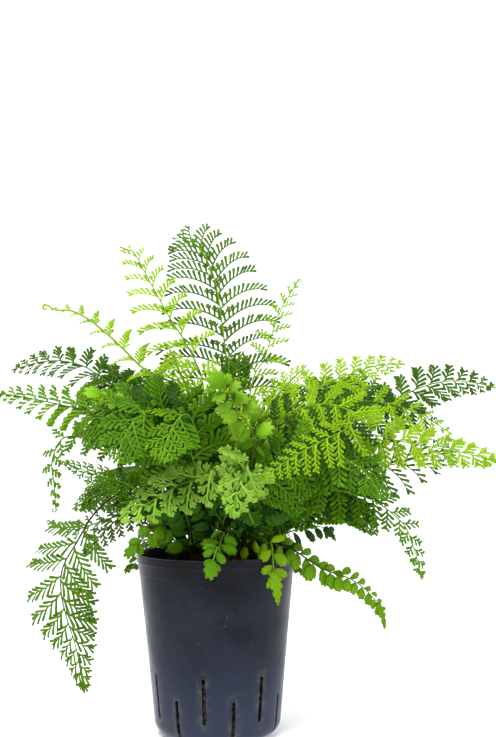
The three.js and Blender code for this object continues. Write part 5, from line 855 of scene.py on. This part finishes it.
    # pinnae low on the stalks that stand at the front, in the deep leaf green as painted shade
    if kind == "B" and f["st"] > 0.24 and f["P"][3][1] < 12:
        for sm in np.arange(0.15, f["st"], 15.0 / total):
            for row, side in ((0, 1), (1, -1)):
                pinna(sm + rng.uniform(-0.012, 0.012), side, row, rng.uniform(20, 30), 0.1, 0.3, painted_shade_rows)
    if kind == "D":
        t_, n_, _ = (q[0] for q in frame_at(f, R, (1 + s_end) / 2))
        e = at(R, [1.0])[0]
        q = at(R, [s_end])[0]
        form = "taper" if name in TIP else "round"
        round_leaf(b, q, unit(e - q), unit(n_ * np.array([1, 1, 0.55])), float(np.linalg.norm(e - q)) * 1.06, blade[1], tone0, 0, 14 if form == "taper" else 8, form, 0.3)
    else:
        t_, n_, _ = (q[0] for q in frame_at(f, R, 0.985))
        put(at(R, [0.985])[0], t_, n_, 5.5, 2.2, 0.1, 0, tone0)
        for box, slot in ((got, 0), (painted_shade_rows, 2)):
            if box["base"]:
                A = {k: np.array(val) for k, val in box.items()}
                leaves(b, A["base"], A["D"], A["N"], A["len"], A["wid"], A["bend"], A["swing"], BLUNT if kind == "C" else SLIM, slot, A["shade"], 0.16, 0.26, K["cup"])
    ob = b.make(name + "_leaf", [LEAF[f["tone"]], STALK, LEAF["deep"]] if painted_shade_rows["base"] else [LEAF[f["tone"]], STALK])
    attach(ob, "root")
    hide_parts(name)
    return ob


for f in FRONDS:
    f["f0"], f["f1"] = np.array(f["f0"]), np.array(f["f1"])
    frond(f)


# ---- the pot -------------------------------------------------------------------------
H, FOOT, TAPER, ROUND, WALL, FLOOR = 184.0, 62.7, 0.0946, 17.0, 1.8, 2.4
BAND, LIP = 164.0, 176.0
outer = lambda z: FOOT + TAPER * z


def foot_round(offset, floor, steps):
    r = ROUND - offset
    cz = floor + r
    cx = outer(cz) - offset - r
    return [(cx + r * math.sin(a), cz - r * math.cos(a)) for a in np.linspace(0, math.pi / 2, steps + 1)]


def refine(points, most):
    out = [points[0]]
    for p, q in zip(points, points[1:]):
        k = max(1, int(math.hypot(q[0] - p[0], q[1] - p[1]) / most))
        out += [(p[0] + (q[0] - p[0]) * t / k, p[1] + (q[1] - p[1]) * t / k) for t in range(1, k + 1)]
    return out


lip_r = outer(LIP) + 0.9
wall_out = foot_round(0, 0, 14) + [
    (outer(BAND), BAND), (outer(BAND) + 0.32, BAND + 0.25), (outer(BAND) + 0.4, BAND + 0.7),
    (outer(LIP) + 0.4, LIP - 0.7), (outer(LIP) + 0.55, LIP - 0.25), (lip_r - 0.15, LIP), (lip_r + 0.05, LIP + 0.3),
    (lip_r + 0.2, H - 1.6), (lip_r + 0.1, H - 0.7), (lip_r - 0.3, H - 0.15), (lip_r - 0.8, H),
    (outer(H) - WALL + 0.6, H), (outer(H) - WALL + 0.15, H - 0.2), (outer(H) - WALL, H - 0.7),
] + foot_round(WALL, FLOOR, 10)[::-1]
ring = refine([(0.0, 0.0)] + wall_out + [(0.0, FLOOR)], 4.0)
SEG = 224
pv, pq, pt = [], [], []
inner_ring = ring[1:-1]
ang = 2 * np.pi * np.arange(SEG) / SEG
for r_, z_ in inner_ring:
    pv.append(np.stack([r_ * np.cos(ang), r_ * np.sin(ang), np.full(SEG, z_)], -1))
pv = np.vstack(pv + [np.array([[0, 0, 0.0]]), np.array([[0, 0, FLOOR]])])
j = np.arange(SEG)
nx = (j + 1) % SEG
for k in range(len(inner_ring) - 1):
    pq.append(np.stack([k * SEG + j, k * SEG + nx, (k + 1) * SEG + nx, (k + 1) * SEG + j], -1))
last = (len(inner_ring) - 1) * SEG
c0, c1 = len(inner_ring) * SEG, len(inner_ring) * SEG + 1
pt = np.vstack([np.stack([nx, j, np.full(SEG, c0)], -1), np.stack([last + j, last + nx, np.full(SEG, c1)], -1)])
pb = Build()
pb.add(pv, np.vstack(pq), pt)

HIGH = [-62 + 360 / 7 * k for k in range(7)]
LOW = [-36.3 + 360 / 7 * k for k in range(7)]


def pot_material():
    """Dark blue-grey moulded plastic: faint scuffs and dust, dull limescale and algae round the slots, and a base
    colour painted lighter towards the foot for the floor's bounce light and darker towards the rim for the leaves'
    shadow.
    """
    mat, nt, out = nodes_of("pot_plastic")
    co = nt.nodes.new("ShaderNodeTexCoord").outputs["Object"]
    a = nt.nodes.new("ShaderNodeAttribute")
    a.attribute_name = "leaf"
    sep = nt.nodes.new("ShaderNodeSeparateXYZ")
    nt.links.new(a.outputs["Vector"], sep.inputs[0])
    near, height, algae = sep.outputs
    cloud = noise(nt, co, 16, 4)
    # painted light and shade: the base colour runs lighter towards the foot, for light bounced from the floor, and
    # darkest at the rim, for the shadow of the fronds above
    colour = ramp(nt, height, (0.0, lin(38, 44, 60)), (0.3, lin(25, 31, 45)), (0.6, lin(11, 15, 24)), (0.88, lin(6, 9, 15)), (0.93, lin(4, 5, 8)), (1.0, lin(5, 6, 9)))
    colour = mix(nt, maths(nt, "MULTIPLY", ramp(nt, cloud, (0.38, (0, 0, 0)), (0.68, (1, 1, 1))), 0.12), colour, lin(58, 66, 84))
    speck = ramp(nt, noise(nt, co, 330, 6, 0.7), (0.62, (0, 0, 0)), (0.70, (1, 1, 1)))
    colour = mix(nt, maths(nt, "MULTIPLY", speck, 0.20), colour, lin(120, 124, 130))
    lime = maths(nt, "MULTIPLY", ramp(nt, noise(nt, co, 120, 6, 0.7), (0.46, (0, 0, 0)), (0.64, (1, 1, 1))), near)
    colour = mix(nt, maths(nt, "MULTIPLY", lime, 0.13), colour, lin(140, 136, 122))
    green = maths(nt, "MULTIPLY", ramp(nt, noise(nt, co, 70, 4), (0.5, (0, 0, 0)), (0.62, (1, 1, 1))), algae)
    colour = mix(nt, maths(nt, "MULTIPLY", green, 0.55), colour, lin(92, 104, 34))
    p = new(nt, "ShaderNodeBsdfPrincipled")
    p.inputs["Specular IOR Level"].default_value = 0.09
    p.inputs["Sheen Weight"].default_value = 0.50
    p.inputs["Sheen Roughness"].default_value = 0.27
    p.inputs["Sheen Tint"].default_value = (0.82, 0.88, 1.0, 1)
    nt.links.new(colour, p.inputs["Base Color"])
    nt.links.new(ramp(nt, noise(nt, co, 46, 5), (0.3, (0.36,) * 3), (0.75, (0.56,) * 3)), p.inputs["Roughness"])
    b = nt.nodes.new("ShaderNodeBump")
    b.inputs["Strength"].default_value = 0.22
    b.inputs["Distance"].default_value = 0.0002
    nt.links.new(noise(nt, co, 700, 3), b.inputs["Height"])
    nt.links.new(b.outputs[0], p.inputs["Normal"])
    nt.links.new(p.outputs[0], out.inputs[0])
    return mat


pot = pb.make("culture_pot_body", [pot_material()])


def cutter(deg, r0, bottom, top, half=2.1):
    bm = bmesh.new()
    prof = [(-half, bottom), (half, bottom)] if bottom < 0 else [(half * math.cos(t), bottom + half * math.sin(t)) for t in np.linspace(math.pi, 2 * math.pi, 9)]
    prof += [(half * math.cos(t), top - half + half * math.sin(t)) for t in np.linspace(0, math.pi, 9)]
    near_, far_ = [], []
    a_ = math.radians(deg)
    for x_, z_ in prof:
        for y_, row in ((-r0, near_), (-90.0, far_)):
            row.append(bm.verts.new(((x_ * math.cos(a_) - y_ * math.sin(a_)) * MM, (x_ * math.sin(a_) + y_ * math.cos(a_)) * MM, z_ * MM)))
    k = len(prof)
    for i_ in range(k):
        bm.faces.new((near_[i_], near_[(i_ + 1) % k], far_[(i_ + 1) % k], far_[i_]))
    bm.faces.new(near_[::-1])
    bm.faces.new(far_)
    bmesh.ops.recalc_face_normals(bm, faces=bm.faces)
    me = bpy.data.meshes.new("cut")
    bm.to_mesh(me)
    bm.free()
    return me


cut = bpy.data.meshes.new("cuts")
bm = bmesh.new()
for d in HIGH:
    bm.from_mesh(cutter(d, 50, 23.1, 67))
for d in LOW:
    bm.from_mesh(cutter(d, 43, -2, 44))
bm.to_mesh(cut)
bm.free()
cut_ob = bpy.data.objects.new("cuts", cut)
bpy.context.scene.collection.objects.link(cut_ob)
mod = pot.modifiers.new("slots", "BOOLEAN")
mod.operation, mod.solver, mod.object = "DIFFERENCE", "EXACT", cut_ob
dg = bpy.context.evaluated_depsgraph_get()
done = bpy.data.meshes.new_from_object(pot.evaluated_get(dg))
pot.modifiers.clear()
pot.data = done
bpy.data.objects.remove(cut_ob)
for me in [m for m in bpy.data.meshes if m.users == 0]:
    bpy.data.meshes.remove(me)
co = np.empty(len(pot.data.vertices) * 3, np.float32)
pot.data.vertices.foreach_get("co", co)
co = co.reshape(-1, 3) / MM
deg = np.degrees(np.arctan2(co[:, 0], -co[:, 1]))
rad = np.hypot(co[:, 0], co[:, 1])
near = np.zeros(len(co))
for row, z0, z1 in ((HIGH, 21, 67), (LOW, 0, 44)):
    for d in row:
        # HIGH and LOW turn about +Z from the front, so on the right for a positive angle
        gap = np.abs((deg - d + 180) % 360 - 180) * np.pi / 180 * rad
        dz = np.maximum(0, np.maximum(z0 - co[:, 2], co[:, 2] - z1))
        near = np.maximum(near, np.exp(-((np.hypot(gap, dz) - 2) / 4.5) ** 2))
algae = np.exp(-(((deg + 62) % 360 - 0) / 9) ** 2) * np.exp(-((co[:, 2] - 24) / 12) ** 2) + 0.25 * near
if "leaf" in pot.data.attributes:
    pot.data.attributes.remove(pot.data.attributes["leaf"])
at_ = pot.data.attributes.new("leaf", "FLOAT_VECTOR", "POINT")
at_.data.foreach_set("vector", np.stack([near, co[:, 2] / H, algae], -1).astype(np.float32).ravel())
pot.data.polygons.foreach_set("use_smooth", np.ones(len(pot.data.polygons), bool))
pot.data.set_sharp_from_angle(angle=math.radians(32))
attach(pot, "root")
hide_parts("culture_pot")

# ---- clay granules ---------------------------------------------------------------------
bm = bmesh.new()
bmesh.ops.create_icosphere(bm, subdivisions=3, radius=1.0)
SV = np.array([v.co[:] for v in bm.verts])
ST = np.array([[v.index for v in f_.verts] for f_ in bm.faces])
bm.free()


def pebble(b, c, r, slot=0):
    q = SV.copy()
    k = rng.normal(size=(5, 3)) * 2.1
    ph = rng.uniform(0, 6.28, 5)
    q = q * (1 + 0.055 * np.sin(q @ k.T + ph).sum(-1, keepdims=True))
    s = rng.uniform(0.80, 1.14, 3)
    Q, _ = np.linalg.qr(rng.normal(size=(3, 3)))
    if np.linalg.det(Q) < 0:
        Q[:, 0] *= -1
    b.add((q * s * r) @ Q.T + c, None, ST, np.tile([rng.random(), 0, 0], (len(q), 1)), slot)


gb = Build()
placed = []
for tries in range(9000):
    r_ = rng.uniform(4.0, 5.9)
    rr = math.sqrt(rng.random()) * (outer(168) - WALL - r_ - 0.5)
    th = rng.uniform(0, 2 * np.pi)
    p_ = np.array([rr * math.cos(th), rr * math.sin(th)])
    if rr < 25 or any(np.hypot(*(p_ - o[:2])) < (r_ + o[2]) * 0.86 for o in placed):
        continue
    placed.append((p_[0], p_[1], r_))
for x_, y_, r_ in placed:
    pebble(gb, np.array([x_, y_, 171.2 - r_ - rng.uniform(0, 1.6)]), r_)
for x_, y_, r_ in placed:
    if rng.random() < 0.55:
        pebble(gb, np.array([x_ + rng.uniform(-4, 4), y_ + rng.uniform(-4, 4), 163.0 - rng.uniform(0, 2)]) * np.array([0.95, 0.95, 1]), r_ * 0.95)
# granules down the slots take the third colour, clay painted dark as shade in the slots
for row, z0, z1 in ((HIGH, 22, 66), (LOW, 9, 43)):
    for d in row:
        z_ = z0
        while z_ < z1:
            r_ = rng.uniform(3.6, 5.0)
            a_ = math.radians(d) + rng.normal(0, 0.025)
            rad_ = (outer(z_) if z_ > 17 else outer(17) - (17 - math.sqrt(max(0, 289 - (17 - z_) ** 2)))) - WALL - r_ - 0.7
            pebble(gb, np.array([math.sin(a_) * rad_, -math.cos(a_) * rad_, z_]), r_, 2)
            z_ += r_ * 1.45
core = refine([(0.0, 3.2)] + [(r_ - 4.6, z_ + 2.2) for r_, z_ in foot_round(WALL + 0.3, FLOOR + 0.3, 6)] + [(outer(163) - WALL - 4.9, 163.0), (0.0, 163.0)], 8.0)[1:-1]
cs = 64
ca = 2 * np.pi * np.arange(cs) / cs
cv = np.vstack([np.stack([r_ * np.cos(ca), r_ * np.sin(ca), np.full(cs, z_)], -1) for r_, z_ in core] + [np.array([[0, 0, core[0][1]]]), np.array([[0, 0, core[-1][1]]])])
j = np.arange(cs)
nx = (j + 1) % cs
cq = np.vstack([np.stack([k * cs + j, k * cs + nx, (k + 1) * cs + nx, (k + 1) * cs + j], -1) for k in range(len(core) - 1)])
ct = np.vstack([np.stack([nx, j, np.full(cs, len(core) * cs)], -1), np.stack([(len(core) - 1) * cs + j, (len(core) - 1) * cs + nx, np.full(cs, len(core) * cs + 1)], -1)])
# the fill inside the pot takes the second colour, clay painted dark as shade seen through the slots
gb.add(cv, cq, ct, None, 1)
bed = gb.make("granule_bed_clay", [CLAY, FILL, SHADED_CLAY])
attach(bed, "root")
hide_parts("granule_bed")

# ---- crown: a scaly rootstock ------------------------------------------------------------
cb = Build()
dome = [(0.0, 169.9)] + [(29.6, 169.9), (30.4, 171.2)] + [(30.4 * math.cos(t), 171.2 + 10.0 * math.sin(t)) for t in np.linspace(0.15, math.pi / 2, 9)][:-1] + [(0.0, 181.2)]
dome = dome[1:-1]
ca = 2 * np.pi * np.arange(48) / 48
cv = np.vstack([np.stack([r_ * (1 + 0.03 * np.sin(7 * ca + z_)) * np.cos(ca), r_ * (1 + 0.03 * np.sin(7 * ca + z_)) * np.sin(ca), np.full(48, z_)], -1) for r_, z_ in dome] + [np.array([[0, 0, 169.9]]), np.array([[0, 0, 181.2]])])
j = np.arange(48)
nx = (j + 1) % 48
cq = np.vstack([np.stack([k * 48 + j, k * 48 + nx, (k + 1) * 48 + nx, (k + 1) * 48 + j], -1) for k in range(len(dome) - 1)])
ct = np.vstack([np.stack([nx, j, np.full(48, len(dome) * 48)], -1), np.stack([(len(dome) - 1) * 48 + j, (len(dome) - 1) * 48 + nx, np.full(48, len(dome) * 48 + 1)], -1)])
cb.add(cv, cq, ct, None, 0)
K = 900
th = rng.uniform(0, 2 * np.pi, K)
rr = np.sqrt(rng.random(K)) * 30
zz = 171 + 10 * np.sqrt(np.clip(1 - (rr / 31) ** 2, 0, 1))
base = np.stack([rr * np.cos(th), rr * np.sin(th), zz], -1)
out_ = unit(np.stack([rr * np.cos(th), rr * np.sin(th), 18 + np.zeros(K)], -1) + rng.normal(0, 5, (K, 3)))
side_ = unit(np.cross(out_, rng.normal(size=(K, 3))))
leaves(cb, base, unit(out_ * 0.7 + side_ * 0.5), side_, rng.uniform(2.6, 5.6, K), rng.uniform(0.7, 1.3, K), rng.uniform(-0.2, 0.3, K), rng.uniform(-0.2, 0.2, K), SLIM, 0, None, 0.1, 0.12)
crown = cb.make("crown_scales", [SCALE])
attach(crown, "root")
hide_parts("crown")

# ---- floor, sweep and light -----------------------------------------------------------------
sweep = Build()
sp = [(-6000, 0)] + [(2600 + 1200 * math.sin(t), 1200 - 1200 * math.cos(t)) for t in np.linspace(0, math.pi / 2, 18)] + [(3800, 5200)]
sv = np.vstack([[(-5000, y_, z_ - 0.02), (5000, y_, z_ - 0.02)] for y_, z_ in sp])
sweep.add(sv, [[2 * k, 2 * k + 1, 2 * k + 3, 2 * k + 2] for k in range(len(sp) - 1)])
floor_mat, nt, out = nodes_of("pale_floor")
fp = new(nt, "ShaderNodeBsdfPrincipled")
fp.inputs["Base Color"].default_value = (0.96, 0.96, 0.96, 1)
fp.inputs["Roughness"].default_value = 0.75
fp.inputs["Specular IOR Level"].default_value = 0.1
nt.links.new(fp.outputs[0], out.inputs[0])
floor = sweep.make("floor", [floor_mat])

scene = bpy.context.scene
world = bpy.data.worlds.new("studio")
scene.world = world
world.use_nodes = True
world.node_tree.nodes["Background"].inputs[0].default_value = (1, 1, 1, 1)
world.node_tree.nodes["Background"].inputs[1].default_value = 0.52


def soft_light(name, place, aim, size, power):
    d = bpy.data.lights.new(name, "AREA")
    d.shape, d.size, d.size_y, d.energy = "RECTANGLE", size[0], size[1], power
    o = bpy.data.objects.new(name, d)
    scene.collection.objects.link(o)
    z = unit(np.array(place, float) - np.array(aim, float))
    x = unit(np.cross(UP if abs(z[2]) < 0.98 else np.array([0, 1.0, 0]), z))
    y = np.cross(z, x)
    o.matrix_world = Matrix([[x[i], y[i], z[i], place[i]] for i in range(3)] + [[0, 0, 0, 1]])


soft_light("top", (-0.4, -0.9, 2.0), (0, 0, 0.3), (1.2, 1.2), 76)
soft_light("left", (-2.0, -1.0, 1.1), (0, 0, 0.3), (1.2, 1.6), 20)
soft_light("right", (2.1, -0.5, 1.0), (0, 0, 0.3), (1.2, 1.6), 36)
soft_light("backdrop left", (-3.2, 1.6, 2.6), (-0.5, 4.0, 1.6), (2.0, 2.0), 76)
soft_light("backdrop right", (3.2, 1.6, 2.6), (0.5, 4.0, 1.6), (2.0, 2.0), 76)
scene.view_settings.view_transform = "Standard"
scene.view_settings.look = "None"
scene.view_settings.exposure = 0.0
